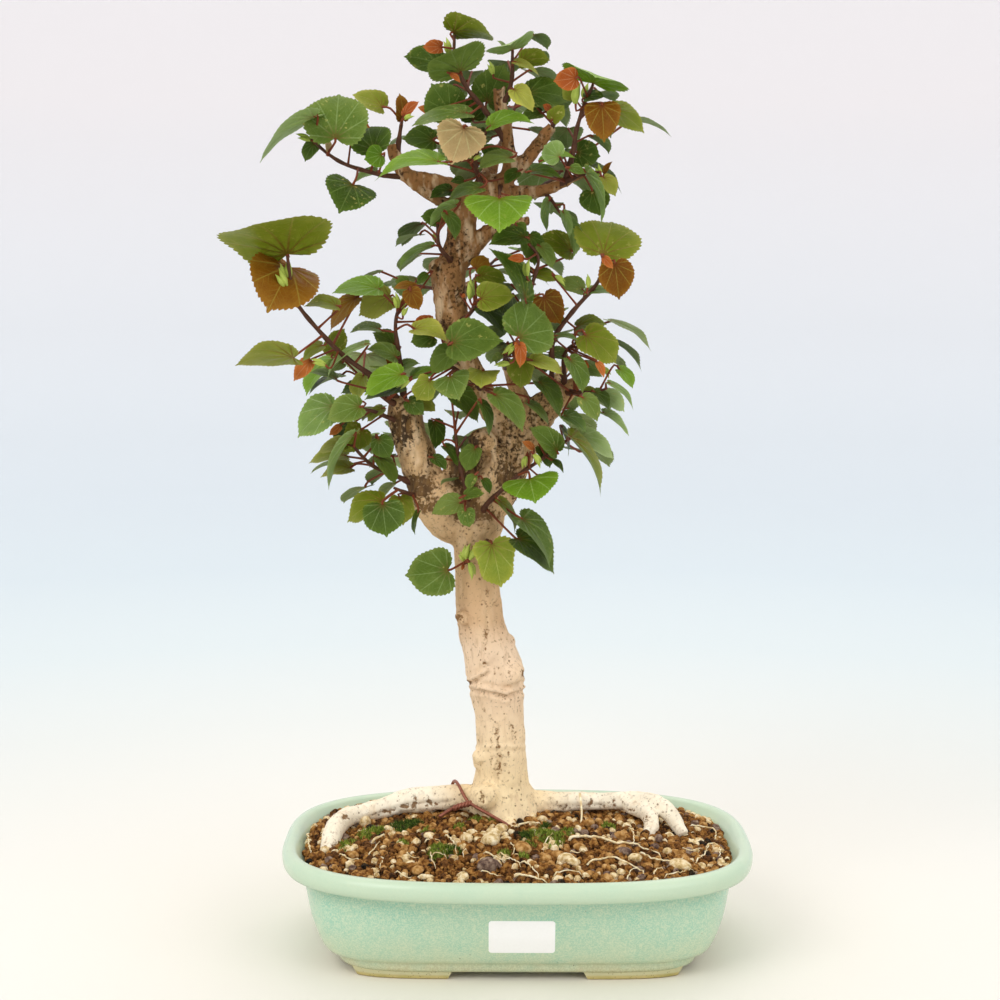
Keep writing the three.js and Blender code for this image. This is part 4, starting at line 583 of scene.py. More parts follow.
PEBBLE_LUMPS, PEBBLE_RINGS, PEBBLE_SIDES = 7, 9, 14
STONE_SHAPE, STONE_RISE, STONE_ROUGH = (1.1, 1, 0.85), 0.4, 0.5


def at(x, z, y):
    """Where a place of the front view stands at depth y."""
    k = (y - EYE[1]) / -EYE[1]
    return np.array([EYE[0] + (x - EYE[0]) * k, y, EYE[2] + (z - EYE[2]) * k])


def on_soil(x, z, lift=0.0):
    """Where the line of sight through x, z of the front view meets the soil, then lifted."""
    for y in np.arange(SIGHT_NEAR, SIGHT_FAR, SIGHT_STEP):
        place = at(x, z, y)
        if place[2] <= soil_height(place[0], place[1]):
            break
    return place + (0, 0, lift)


def pebble(centre, radii, seed, rough):
    """Points and faces of a lumpy ball."""
    rng = np.random.default_rng(seed)
    lumps = rng.normal(size=(PEBBLE_LUMPS, 3))
    lumps /= np.linalg.norm(lumps, axis=1)[:, None]
    heights = rng.normal(size=PEBBLE_LUMPS) * rough
    turn = 2 * math.pi * np.arange(PEBBLE_SIDES) / PEBBLE_SIDES
    out = []
    for polar in np.linspace(0.12, math.pi - 0.12, PEBBLE_RINGS):
        ring = np.stack([np.sin(polar) * np.cos(turn), np.sin(polar) * np.sin(turn),
                         np.full(PEBBLE_SIDES, math.cos(polar))], 1)
        swell = 1 + np.clip(ring @ lumps.T, 0, 1) ** 2 @ heights
        out.append(np.asarray(centre) + ring * swell[:, None] * np.asarray(radii))
    return loft(out)


for name, stones, kind in (("stones_pumice", PUMICE_STONES, "cream_pumice"),
                           ("stones_tan", TAN_STONES, "tan_baked_clay"),
                           ("stones_mauve", MAUVE_STONES, "lava_grit")):
    parts = []
    for number, (x, z, r) in enumerate(stones):
        rng = np.random.default_rng(number + len(name) * 7)
        radii = r * (0.8 + 0.4 * rng.random(3)) * STONE_SHAPE
        parts.append(pebble(on_soil(x, z, STONE_RISE * r), radii, number, STONE_ROUGH))
    make_piece(name, *together(parts), [mineral[kind]], "soil")

# Fine roots: dry, cream, 0.6 to 2 mm thick, bared by watering and lying over the grains. Each is
# its radius, then x and z of its points in the front view.
ROOTLETS = [
    (0.5, (-113, 55), (-112.6, 50), (-111.5, 45)), (0.8, (-78, 50.5), (-75, 52), (-71, 54.5)),
    (0.35, (-80, 44), (-77, 47), (-74, 51)), (0.35, (-73, 43), (-73, 40), (-74, 37)),
    (0.45, (-39, 54.5), (-34, 50), (-33, 45)), (0.4, (-50, 51), (-45, 52), (-41, 51)),
    (0.35, (-47, 45), (-46, 41), (-44, 37)), (0.35, (-46, 44), (-42, 44), (-38, 43)),
    (0.35, (-27, 47), (-29, 45), (-29, 43)), (0.5, (-18, 45), (-10, 41.5), (-3, 41)),
    (0.45, (-10, 44.5), (-4, 42), (2, 38)), (0.35, (-4, 51), (-1, 47), (-3, 43)),
    (0.6, (0, 60), (6, 60.5), (13, 61.5)), (0.35, (15, 51), (18, 54), (20, 55.5)),
    (0.6, (0, 32), (8, 31), (16, 28.5)), (0.45, (2, 40), (7, 37), (12, 32)),
    (0.75, (28, 52.5), (36, 53.5), (45, 53), (54, 50), (62, 49.5), (70, 47), (78, 43)),
    (0.6, (38, 39), (44, 41), (52, 42), (58, 40), (64, 37), (69, 33.5)),
    (0.4, (60, 31), (62, 35), (66, 36.5)), (0.4, (60, 59), (63, 55), (63, 50)),
    (0.4, (74, 34), (76, 36), (79, 37)), (0.5, (93, 60), (101, 59), (107, 57), (107, 52)),
    (0.4, (97, 41), (101, 44), (104, 50)), (0.45, (102, 49), (107, 50), (110, 47), (109, 43)),
    (0.4, (-20, 35), (-14, 33), (-8, 31)), (0.35, (84, 58), (90, 55), (96, 57)),
    (0.35, (28, 46), (32, 45), (37, 47)), (0.35, (-60, 45), (-56, 42), (-52, 43)),
    (0.5, (66, 45), (74, 41), (84, 40), (92, 43)), (0.35, (80, 33), (88, 34), (96, 36)),
    (0.4, (-96, 44), (-90, 41), (-84, 41)), (0.35, (-66, 34), (-58, 31), (-51, 31)),
    (0.35, (88, 49), (94, 46), (100, 48)), (0.35, (20, 33), (28, 35), (35, 33)),
]
HANGING_ROOT = [(34, 6, 78), (34.6, -6, 71), (34, -12, 66), (33.4, -16, 62)]
HANGING_STEPS, ROOTLET_SIDES = 14, 7
# mm: above the soil, between rings, waver, and how far both ends dip into the grains
ROOTLET_LIFT, ROOTLET_STEP, ROOTLET_WOBBLE, ROOTLET_DIP = 1.4, 1.2, 0.22, 1.6


def smooth_path(points, count):
    """Evenly spaced points on a Catmull-Rom curve through the given ones."""
    points = np.asarray(points, float)
    ends = np.concatenate([[2 * points[0] - points[1]], points, [2 * points[-1] - points[-2]]])
    fine = []
    for i in range(len(points) - 1):
        a, b, c, d = ends[i : i + 4]
        for t in np.linspace(0, 1, 12, endpoint=False):
            fine.append(0.5 * (2 * b + (c - a) * t + (2 * a - 5 * b + 4 * c - d) * t * t
                               + (3 * b - a - 3 * c + d) * t**3))
    fine = np.array(fine + [points[-1]])
    run = np.concatenate([[0], np.cumsum(np.linalg.norm(np.diff(fine, axis=0), axis=1))])
    spots = np.linspace(0, run[-1], count)
    return np.stack([np.interp(spots, run, fine[:, k]) for k in range(fine.shape[1])], 1)


def unit(v):
    length = math.sqrt(v @ v)
    return v / (length or 1)


def skin_tube(path, radii, sides):
    """Points and faces of a round tube whose rings stand square to its path."""
    steps = np.gradient(path, axis=0)
    steps /= np.linalg.norm(steps, axis=1)[:, None] + 1e-12
    side = unit(np.cross(steps[0], (0, 0, 1) if abs(steps[0][2]) < 0.8 else (0, 1, 0)))
    turn = 2 * math.pi * np.arange(sides) / sides
    rings = []
    for p, r, step in zip(path, radii, steps):
        side = unit(side - step * (side @ step))
        other = np.cross(step, side)
        rings.append(p + r * (np.cos(turn)[:, None] * side + np.sin(turn)[:, None] * other))
    return loft(rings)


rootlets = []
for number, (radius, *places) in enumerate(ROOTLETS):
    rng = np.random.default_rng(number)
    places = [on_soil(x, z, ROOTLET_LIFT + radius + rng.random()) for x, z in places]
    count = max(8, int(math.dist(places[0], places[-1]) / ROOTLET_STEP))
    path = smooth_path(places, count) + rng.normal(0, ROOTLET_WOBBLE, (count, 3))
    path[[0, -1], 2] -= ROOTLET_DIP
    taper = 1.05 - 0.55 * np.linspace(0, 1, count)
    rootlets.append(skin_tube(path, radius * taper * rng.uniform(0.85, 1.15, count),
                              ROOTLET_SIDES))
rootlets.append(skin_tube(smooth_path(HANGING_ROOT, HANGING_STEPS),
                          np.linspace(0.7, 0.4, HANGING_STEPS), ROOTLET_SIDES))
root_skin = stone_surface("dry_fine_root", ("#CDB07C", "#EEDCAE", "#FAF0D2"), 300, 0.8, 0.4)
make_piece("fine_roots", *together(rootlets), [root_skin], "bark")

# Moss: pads of short upright shoots, bright yellow-green, with one dark tuft by the left root.
# Each pad is x, z of its middle in the front view, its half width and half depth in mm.
LIGHT_MOSS = [
    (-79, 57, 8, 7), (-92, 50, 6, 6), (-41, 47, 8, 7), (-62, 51, 3.5, 3), (-22, 64, 4, 3),
    (-7, 45, 4, 4), (12, 56, 8, 8), (20, 54.5, 8, 9), (3, 44, 3, 3), (49, 61, 4, 3),
    (-48, 58, 4, 3), (-31, 60, 3, 3), (28, 58, 4, 3), (-14, 64, 3, 2), (6, 50, 4, 3),
]
DARK_MOSS = [(-61, 60.5, 9, 8), (-35, 47, 4, 4), (4, 55, 3, 4), (16, 60, 4, 3)]
PAD_SIDES, PAD_SHARES, PAD_RAGGED = 14, (0.05, 0.5, 0.8, 1), 0.25
PAD_THICK, PAD_RISE, PAD_FALL = 1.2, 1.9, 2.6  # mm
moss_tree, given, points = new_scatter("grow_moss", {
    "Ground": "Geometry", "Spacing": "Float", "Height": "Float", "Thickness": "Float",
    "Lean": "Float", "Seed": "Int", "Material": "Material"}, 3.0e6)
tuft = add_node(moss_tree, "GeometryNodeMeshCone", {
    "Vertices": 4, "Side Segments": 2, "Radius Top": 0.0, "Radius Bottom": given["Thickness"],
    "Depth": given["Height"]}).outputs["Mesh"]
lean = add_node(moss_tree, "ShaderNodeCombineXYZ",
                {0: given["Lean"], 1: given["Lean"], 2: 3.1}).outputs[0]
tilt = random_vector(moss_tree, scaled(moss_tree, lean, -1), lean, 4)
end_scatter(moss_tree, given, points, tuft, tilt, random_share(moss_tree, 0.5, 1.2, 6))
turn = 2 * math.pi * np.arange(PAD_SIDES) / PAD_SIDES
for name, pads, codes, tall in (
        ("moss_light", LIGHT_MOSS, ("#4A5A0E", "#72842A", "#A0AC4A"), 0.0022),
        ("moss_dark", DARK_MOSS, ("#24360A", "#3C5214", "#64782C"), 0.003)):
    parts = []
    for number, (x, z, half_width, half_depth) in enumerate(pads):
        rings = []
        for share in PAD_SHARES:
            ragged = 1 + PAD_RAGGED * np.sin(3 * turn + number) * share
            ring = on_soil(x, z) + share * np.stack([half_width * ragged * np.cos(turn),
                                                     half_depth * ragged * np.sin(turn),
                                                     0 * turn], 1)
            ring[:, 2] = soil_height(ring[:, 0], ring[:, 1]) + PAD_RISE - PAD_FALL * share**3
            rings.append(ring)
        lower = [ring - (0, 0, PAD_THICK) for ring in rings[::-1]]
        parts.append(loft(lower[:-1] + rings[::-1]))
    points, faces = together(parts)
    moss = grow_on(moss_tree, new_mesh(name, metres(points), faces), name, {
        "Spacing": 0.00058, "Height": tall, "Thickness": 0.00034, "Lean": 0.5, "Seed": 2,
        "Material": stone_surface(name + "_shoots", codes, 500, 0.75, 0.3)})
    settle_piece(moss)

# The tree: trunk, surface roots and limbs of living wood, pale and smooth low down, rougher and
# browner above, with burrs, healed cuts and dark cracks, partly darkened with painted shade. Rows:
# x, z, depth and radius in mm as the front view shows them; a place at another depth slides along
# its line of sight.
WOOD = [
    [(-6, 50, 10, 17), (-6, 60, 10, 19), (-6.5, 68, 10, 19.5), (-7.5, 76, 10, 17.8),
      (-8.6, 84, 10, 15.6), (-8.3, 91, 10, 14.2), (-8.8, 108, 10, 13.5), (-9.6, 124, 10, 13.1),
      (-11, 136, 10, 14.6), (-12.6, 147, 10, 15.8), (-16.2, 160, 10, 13.7),
      (-19.2, 171, 10, 12.6), (-21.2, 186, 10, 12), (-22, 204, 10, 11.7), (-22.6, 216, 9, 12.2),
      (-22.3, 225, 8, 13.6), (-20, 236, 7, 13), (-15, 250, 5, 11), (-13, 260, 4, 9.5),
      (-15, 266, 3, 7)],
    [(-26, 220, 9, 9), (-37, 228, 8, 11.6), (-45, 238, 6, 11.2), (-50, 250, 5, 10),
      (-54, 263, 4, 9.4), (-58, 274, 3, 9), (-60, 284, 3, 9), (-60, 292, 3, 7.6)],
    [(-15, 236, 9, 10), (-7, 250, 10, 10), (-2, 262, 12, 9), (4, 273, 14, 9), (10, 284, 15, 9),
      (18, 292, 16, 7.4), (25, 297, 17, 5.8), (31, 301, 18, 3.6)],
    [(-3, 258, 10, 8), (-6.5, 275, 10, 7.2), (-14, 288, 10, 7), (-22, 300, 10, 7),
      (-30, 315, 10, 7.5), (-34, 330, 10, 8), (-36, 345, 10, 8.5), (-37, 357, 10, 9.2),
      (-34, 365, 10, 8), (-31, 376, 10, 7.5), (-29, 392, 10, 7), (-25, 402, 10, 5.5)],
    [(7, 279, 14, 6), (3, 288, 13, 5), (-2, 300, 12, 4), (-7, 313, 11, 2.6)],
    [(-33, 364, 10, 6), (-26, 370, 8, 5.2), (-17, 379, 6, 3.8), (-6, 384, 4, 3),
      (5, 385.5, 3, 2.3)],
    [(-30, 385, 8, 5), (-32, 391, 6, 4.2), (-44, 397, 3, 2.8), (-55, 404.5, 1, 3),
      (-62, 413, 0, 4), (-67, 425, 0, 3)],
    [(-26, 398, 10, 5.5), (-38, 404, 8, 4.2), (-48, 406.5, 5, 4), (-58, 409, 1, 3)],
    [(-28, 394, 10, 6), (-19, 403, 9, 5.2), (-8, 407, 8, 4.6), (-5, 414, 7, 4.2),
      (-7, 430, 6, 3.7), (-10, 445, 5, 3.4), (-11, 454, 5, 3.1)],
    [(-6, 409, 7, 4), (4, 418, 5, 3.6), (11, 427, 3, 3.4), (17, 434.5, 2, 2.8)],
    [(-20, 402, 9, 5), (-5, 400, 9, 4.2), (8, 400.5, 8, 3.4), (20, 404, 6, 3), (33, 410, 3, 2)],
    [(-34, 336, 12, 6), (-31, 345, 30, 3.6), (-26, 352, 48, 2.6)],
    [(12, 287, 17, 6), (19, 300, 36, 3.4), (24, 309, 54, 2.4)],
    [(-56, 268, 6, 6), (-60, 280, 24, 3.6), (-63, 290, 42, 2.4)],
    [(-21, 401, 11, 5), (-15, 413, 28, 3.4), (-10, 424, 46, 2.4)],
    [(-14, 74, 10, 11), (-30, 77.5, 11, 7), (-46, 76.4, 12, 7.2), (-59, 75.3, 12, 6.8),
      (-72, 71.6, 11, 5.6), (-84, 68.6, 8, 4.9), (-92, 66, 1, 5.2), (-98, 60, -9, 5.6),
      (-101, 51, -19, 5.2), (-102, 40, -29, 4.2)],
    [(2, 73, 10, 10), (16, 75, 11, 6.2), (34, 75.6, 12, 4.8), (50, 75.6, 13, 4.8),
      (63, 75.6, 12, 5.4), (73, 74.8, 9, 5.2), (80, 70.5, 5, 4.8), (85, 65, 0, 4.2),
      (90, 57, -6, 3.2)],
    [(60, 73.5, 9, 4.4), (70, 69, 2, 4.7), (72.5, 62, -5, 4.3), (69.5, 55, -11, 3.8),
      (67, 46, -16, 3)],
    [(-8, 66, 16, 9), (-14, 62, 36, 6), (-22, 58, 52, 4.2), (-30, 48, 62, 3)],
    [(0, 66, 16, 8), (14, 62, 34, 5.4), (26, 58, 48, 4), (38, 47, 58, 3)],
    [(-7, 64, 2, 8), (-4, 60, -12, 5), (0, 52, -20, 3.4)],
]
# Burrs, healed cuts and sawn stubs
BURRS = [
    (-28.8, 175.5, 0, 3.7), (-19.8, 101, 4, 4.6), (-19.6, 97, 4, 4.4),
    (-31, 256, 5, 8.5), (-23, 263, 9, 8), (-24, 250, 4, 7), (-31, 242, 3, 8),
    (-41, 343, 9, 5), (-20, 270.5, -3, 4.9), (-6, 243, 0, 7), (-43, 361, 9, 4.4),
    (-63, 290, -1, 6), (-52, 243, -2, 5), (-18, 77, -2, 7), (2, 145, 2, 2.2), (-3.8, 164, 9, 2),
    (-58, 281, -3, 4.5), (-36, 250, 0, 3.6), (-4.8, 147, 3.4, 8.8), (-17.9, 150.7, -2.8, 2.2),
]
# Marks on the bark that the front view shows: x, z, half width, half height, depth of the dent
# in mm (below zero for a swelling), and how dark
MARKS = [
    (-31.5, 175.5, 2.2, 1.8, 0.8, 0.9), (-17.9, 150.7, 0.9, 0.9, 1, 0.9),
    (-26, 139.8, 1.2, 1.2, 0.8, 1), (3.4, 145, 1.3, 1.8, 0.7, 0.8),
    (-10, 95.5, 1.3, 6.5, 1.2, 0.62), (-18.4, 75, 1.1, 3.2, 0.8, 0.7),
    (-11.2, 109, 0.5, 8, 0.5, 0.5), (-25, 85, 1.2, 1.6, 0.6, 0.5),
    (-26, 101, 1.6, 6, 0.6, 0.4), (-18.5, 77, 2, 2.4, 0.8, 0.6), (-3, 164, 1, 1.2, 0.4, 0.5),
    (-53, 246, 8, 6, 0.8, 1), (-47, 236, 7, 4, 0.8, 0.8), (-29, 262, 8, 17, 1.4, 1),
    (-27, 233, 8, 6, 0.8, 1), (-26, 243, 5, 9, 1.2, 0.9), (2, 240, 5, 11, 0.8, 0.9),
    (-20, 231, 9, 3, 0.8, 0.8), (-62, 276, 5, 9, 0.6, 1), (-6, 252, 6, 8, 0.8, 0.9),
    (-42, 288, 2, 9, 0.5, 0.8), (-47, 262, 1.5, 6, 0.4, 0.7), (-4, 266, 8, 22, 0.4, 0.5),
    (10, 290, 6, 18, 0.4, 0.5), (-34, 372, 8, 10, 0.4, 0.5), (-30, 346, 7, 5, 0.5, 0.6),
    (4, 380, 14, 6, 0.4, 0.45), (-27, 300, 4, 6, 0.6, 0.7), (-38, 330, 4, 5, 0.6, 0.7),
    (-60, 284, 6, 7, 0.5, 0.5), (-11, 454, 1.6, 1.4, 1.5, 0.9), (-43.5, 361, 2.6, 2.2, 0.8, 0.7),
    (-14, 224, 5, 1.2, -0.8, 0.3), (-20, 270, 2.4, 2, 0.9, 0.7), (-6, 243, 3, 2.4, 0.7, 0.6),
    (-47.7, 74.4, 2.2, 1.6, 0.6, 0.8), (-70.6, 69.6, 2.5, 1, 0.6, 0.8),
    (40, 75, 1.5, 1.4, 0.5, 0.6), (-93, 66.4, 2, 1.2, 0.5, 0.8), (70, 66, 1.2, 2, 0.5, 0.6),
    (-99, 50.4, 1.2, 2.5, 0.5, 0.7), (-61, 72.8, 3, 1, 0.6, 0.8), (-55, 74.4, 1, 3, 0.6, 0.8),
    (-41, 69.6, 4, 0.9, 0.6, 0.7), (-33, 72.8, 3, 0.8, 0.5, 0.6), (24, 72, 3, 0.8, 0.5, 0.6),
    (52, 74, 1.2, 2.4, 0.5, 0.7), (62, 71, 2.4, 0.9, 0.5, 0.6),
]
# Creases: x and z of both ends, depth, how dark. The dark is partly the bark's own cracks and
# partly painted shade in the sunk line; a dark crease just below a raised ridge is its painted
# shadow
CREASES = [
    # raised ridges (depth below zero), each with a dark crease just below it as its painted shadow
    (-26, 141, -17, 147, -1.3, 0), (-26, 139.4, -17, 145, 0.5, 0.5),
    (-25, 138.5, -6, 134.6, -1.4, 0), (-6, 134.6, 2.5, 138, -1.4, 0),
    (-25, 136.4, -6, 132.6, 0.7, 0.45), (-6, 132.6, 3, 136, 0.7, 0.4),
    (-13, 140, -13, 152, 0.4, 0.15), (-5.6, 156, -3.6, 141, 0.3, 0.45),
    (-10.6, 117, -9.6, 104, 0.5, 0.6), (-2.6, 118, -0.6, 110, 0.4, 0.5),
    (-22, 105, 3, 105.5, -0.5, 0.1), (-16.8, 155, -16.8, 190, 0.3, 0.5),
    (-3.5, 120, -4.5, 88, 0.2, 0.3), (-13.6, 121, -15, 96, 0.25, 0.35),
    (-28, 210, -14, 208, 0.3, 0.2), (-60, 73.5, -36, 74.5, 0.6, 0.6),
    (-84, 65, -66, 71, 0.5, 0.5), (16, 72.8, 46, 73.2, 0.5, 0.5),
    (-31, 205, -31, 150, 0.2, 0.2), (-14, 200, -11, 170, 0.2, 0.25),
]
WOOD_VOXEL = 1.05  # mm
LIMB_STEP = 2.5
TRUNK_SIDES, LIMB_SIDES = 26, 16
TRUNK_X = -8
CROWN_LOW, CROWN_RISE = 205, 60  # mm: where the bark turns rough, and over what height
COARSE, RIB_WIDTH, FINE = 13, 3.4, 1.9  # mm between lumps, upright ribs and grains of the bark
RIB_STRETCH = (1, 1, 0.22)
BURR_SEED, BURR_ROUGH = 41, 0.3
CREASE_HALF, CREASE_RIM, RIM_HALF = 0.9, 2.4, 1.2  # mm


def path_length(places):
    return sum(math.dist(a, b) for a, b in zip(places, places[1:]))


def vertex_values(data, key):
    """The positions or normals of a mesh's vertices."""
    values = np.zeros(len(data.vertices) * 3)
    data.vertices.foreach_get(key, values)
    return values.reshape(-1, 3)


def set_attribute(data, name, values):
    data.attributes.new(name, "FLOAT", "POINT").data.foreach_set(
        "value", values.astype(np.float32))


limbs = []
for number, row in enumerate(WOOD):
    places = [[*at(x, z, y), r * (y - EYE[1]) / -EYE[1]] for x, z, y, r in row]
    path = smooth_path(places, max(6, int(path_length(places) / LIMB_STEP)))
    limbs.append(skin_tube(path[:, :3], np.maximum(path[:, 3], 0.8),
                           LIMB_SIDES if number else TRUNK_SIDES))
for number, (x, z, y, r) in enumerate(BURRS):
    limbs.append(pebble(at(x, z, y), (r, r, r), BURR_SEED + number, BURR_ROUGH))
wood_points, wood_faces = together(limbs)
blank = new_object("wood_blank", new_mesh("wood_blank", metres(wood_points), wood_faces))
join = blank.modifiers.new("join", "REMESH")
join.mode, join.voxel_size = "VOXEL", WOOD_VOXEL * MM
ease = blank.modifiers.new("ease", "SMOOTH")
ease.factor, ease.iterations = 0.5, 4
tree_piece = plain_copy(blank, "hibiscus_wood")

spots = vertex_values(tree_piece.data, "co") / MM - MIDDLE
normals = vertex_values(tree_piece.data, "normal")
nearness = (spots[:, 1] - EYE[1]) / -EYE[1]
seen_x = EYE[0] + (spots[:, 0] - EYE[0]) / nearness
seen_z = EYE[2] + (spots[:, 2] - EYE[2]) / nearness
facing = np.clip(-normals[:, 1] * 3 + 1, 0, 1)
upper = np.clip((spots[:, 2] - CROWN_LOW) / CROWN_RISE, 0, 1)  # 0 on the smooth trunk
coarse = fields(spots, COARSE)
ribs = fields(spots * RIB_STRETCH, RIB_WIDTH, shift=7.0)
fine = fields(spots, FINE, 2, 19.0)
lift = 0.5 * coarse + (0.22 + 0.5 * upper) * ribs + (0.12 + 0.22 * upper) * fine
# painted shade: in the crown the sunk furrows between the ribs are darkened by their depth
dark = np.clip(0.35 * upper * (ribs < -0.12) * np.abs(ribs) * 2.2, 0, 0.7)
for x, z, half_width, half_height, dent, shade in MARKS:
    off = ((seen_x - x + 0.8 * fine) / half_width) ** 2 + (
        (seen_z - z + 0.8 * coarse) / half_height) ** 2
    share = np.exp(-off) * facing
    rim = np.exp(-((np.sqrt(off) - 1.7) ** 2) * 3) * facing
    lift += -dent * share + 0.45 * abs(dent) * rim
    dark = np.maximum(dark, shade * np.clip(1.8 * share, 0, 1) * (0.95 + 0.35 * fine))
for x0, z0, x1, z1, dent, shade in CREASES:
    run = np.array([x1 - x0, z1 - z0])
    part = np.clip(((seen_x - x0) * run[0] + (seen_z - z0) * run[1]) / (run @ run), 0, 1)
    off = np.hypot(seen_x - x0 - part * run[0] + 1.1 * coarse, seen_z - z0 - part * run[1])
    share = np.exp(-((off / CREASE_HALF) ** 2)) * facing
    rim = np.exp(-(((off - CREASE_RIM) / RIM_HALF) ** 2))
    lift += -dent * share + 0.5 * dent * rim * facing
    # the crease's dark: partly its own colour, partly painted shade in the groove
    dark = np.maximum(dark, shade * share * np.clip(0.7 + fine, 0, 1))
slimness = np.minimum(1, np.clip(1 - 0.5 * upper, 0, 1) + 0.4)  # thin wood is lifted less
spots = spots + normals * lift[:, None] * slimness[:, None]
tree_piece.data.vertices.foreach_set("co", metres(spots).ravel())
set_attribute(tree_piece.data, "dark", dark)
set_attribute(tree_piece.data, "age", upper)
tree_piece.data.update()
tree_piece.data.shade_smooth()

# Living bark: bleached cream on the roots, warm cream on the trunk, brown and corky with paler
# flakes in the crown; dark pores of about 1 mm in groups, fine cracks, black-brown wounds, and the
# same dark laid as painted shade in creases, as painted shadow under raised ridges and in the sunk
# furrows of the crown's bark
bark, tree, place = new_surface("living_bark", Roughness=0.78, Specular_IOR_Level=0.2)
age, wounds_and_painted_shade = (add_node(tree, "ShaderNodeAttribute", attribute_name=name).outputs["Fac"]
              for name in ("age", "dark"))
height = remap(tree, axis(tree, place, "Z"), 0.05, 0.45)
grown = ramp(tree, height, (0, "#FBE8C0"), (0.09, "#FAE2B4"), (0.2, "#F0D4B2"), (0.27, "#EACEAE"),
             (0.31, "#D4B088"), (0.36, "#D2AC80"), (0.48, "#DCB88A"), (0.63, "#C09462"),
             (0.8, "#A07044"), (1, "#9C6C40"))
aside = reckon(tree, "SUBTRACT", axis(tree, place, "X"), metres((TRUNK_X, 0, 0))[0])
aside = remap(tree, reckon(tree, "ABSOLUTE", aside), 0.02, 0.04)
bleached = reckon(tree, "MULTIPLY", aside, remap(tree, height, 0.1, 0.16, 1, 0))
skin = blend(tree, bleached, grown, "#FCF2DA")
tall = add_node(tree, "ShaderNodeMapping", {"Vector": place, "Scale": (1, 1, 0.3)}).outputs[0]
streak = mottle(tree, tall, 420, 4)
# Scale, where the patch starts and is full, its share on the trunk and in the crown, its colour
for vector, scale, least, most, young, old, code in (
        (place, 70, 0.5, 0.62, 0.12, 0.48, "#7E5428"),
        (tall, 420, 0.54, 0.7, 0.3, 0.6, "#8E6638"),
        (place, 150, 0.56, 0.66, 0, 0.35, "#4A3018"),
        (place, 520, 0.6, 0.68, 0.35, 0.5, "#4A2E14"),
        (tall, 190, 0.52, 0.68, 0.35, 0.75, "#EACCA4"),
        (place, 26, 0.5, 0.75, 0.25, 0.3, "#C9A27C")):
    patch = remap(tree, mottle(tree, vector, scale, 4), least, most)
    patch = reckon(tree, "MULTIPLY", patch, remap(tree, age, 0, 1, young, old))
    skin = blend(tree, patch, skin, code)
crack = add_node(tree, "ShaderNodeTexVoronoi", {"Vector": tall, "Scale": 110},
                 feature="DISTANCE_TO_EDGE").outputs["Distance"]
dint = 0
for mark, scale, least, most, young, old in (
        (specks(tree, place, 300, 0.1, 0.22), 90, 0.45, 0.52, 0.75, 0.6),
        (remap(tree, crack, 0.01, 0.05, 1, 0), 60, 0.5, 0.62, 0.06, 0.4)):
    strength = remap(tree, age, 0, 1, young, old)
    group = remap(tree, mottle(tree, place, scale, 1), least, most, 0, strength)
    mark = reckon(tree, "MULTIPLY", mark, group)
    dint = reckon(tree, "ADD", mark, dint)
    skin = blend(tree, mark, skin, "#5E3E1C")
# the dark of the wounds and of the painted shade in creases and furrows has a ragged edge: it
# shows where it and a fine noise together are strong enough
ragged = reckon(tree, "MULTIPLY_ADD", mottle(tree, place, 560, 5), 2.6, wounds_and_painted_shade)
ragged = remap(tree, ragged, 1.62, 2, 0, 0.92)
dint = reckon(tree, "ADD", ragged, dint)
flake = blend(tree, remap(tree, streak, 0.46, 0.62), "#261404", "#74542E")
skin = blend(tree, ragged, skin, blend(tree, age, "#7E5A32", flake))
finish(tree, skin, reckon(tree, "MULTIPLY_ADD", dint, -0.8, streak), 0.55, 0.0005)
tree_piece.data.materials.append(bark)
settle_piece(tree_piece, ["tree"])

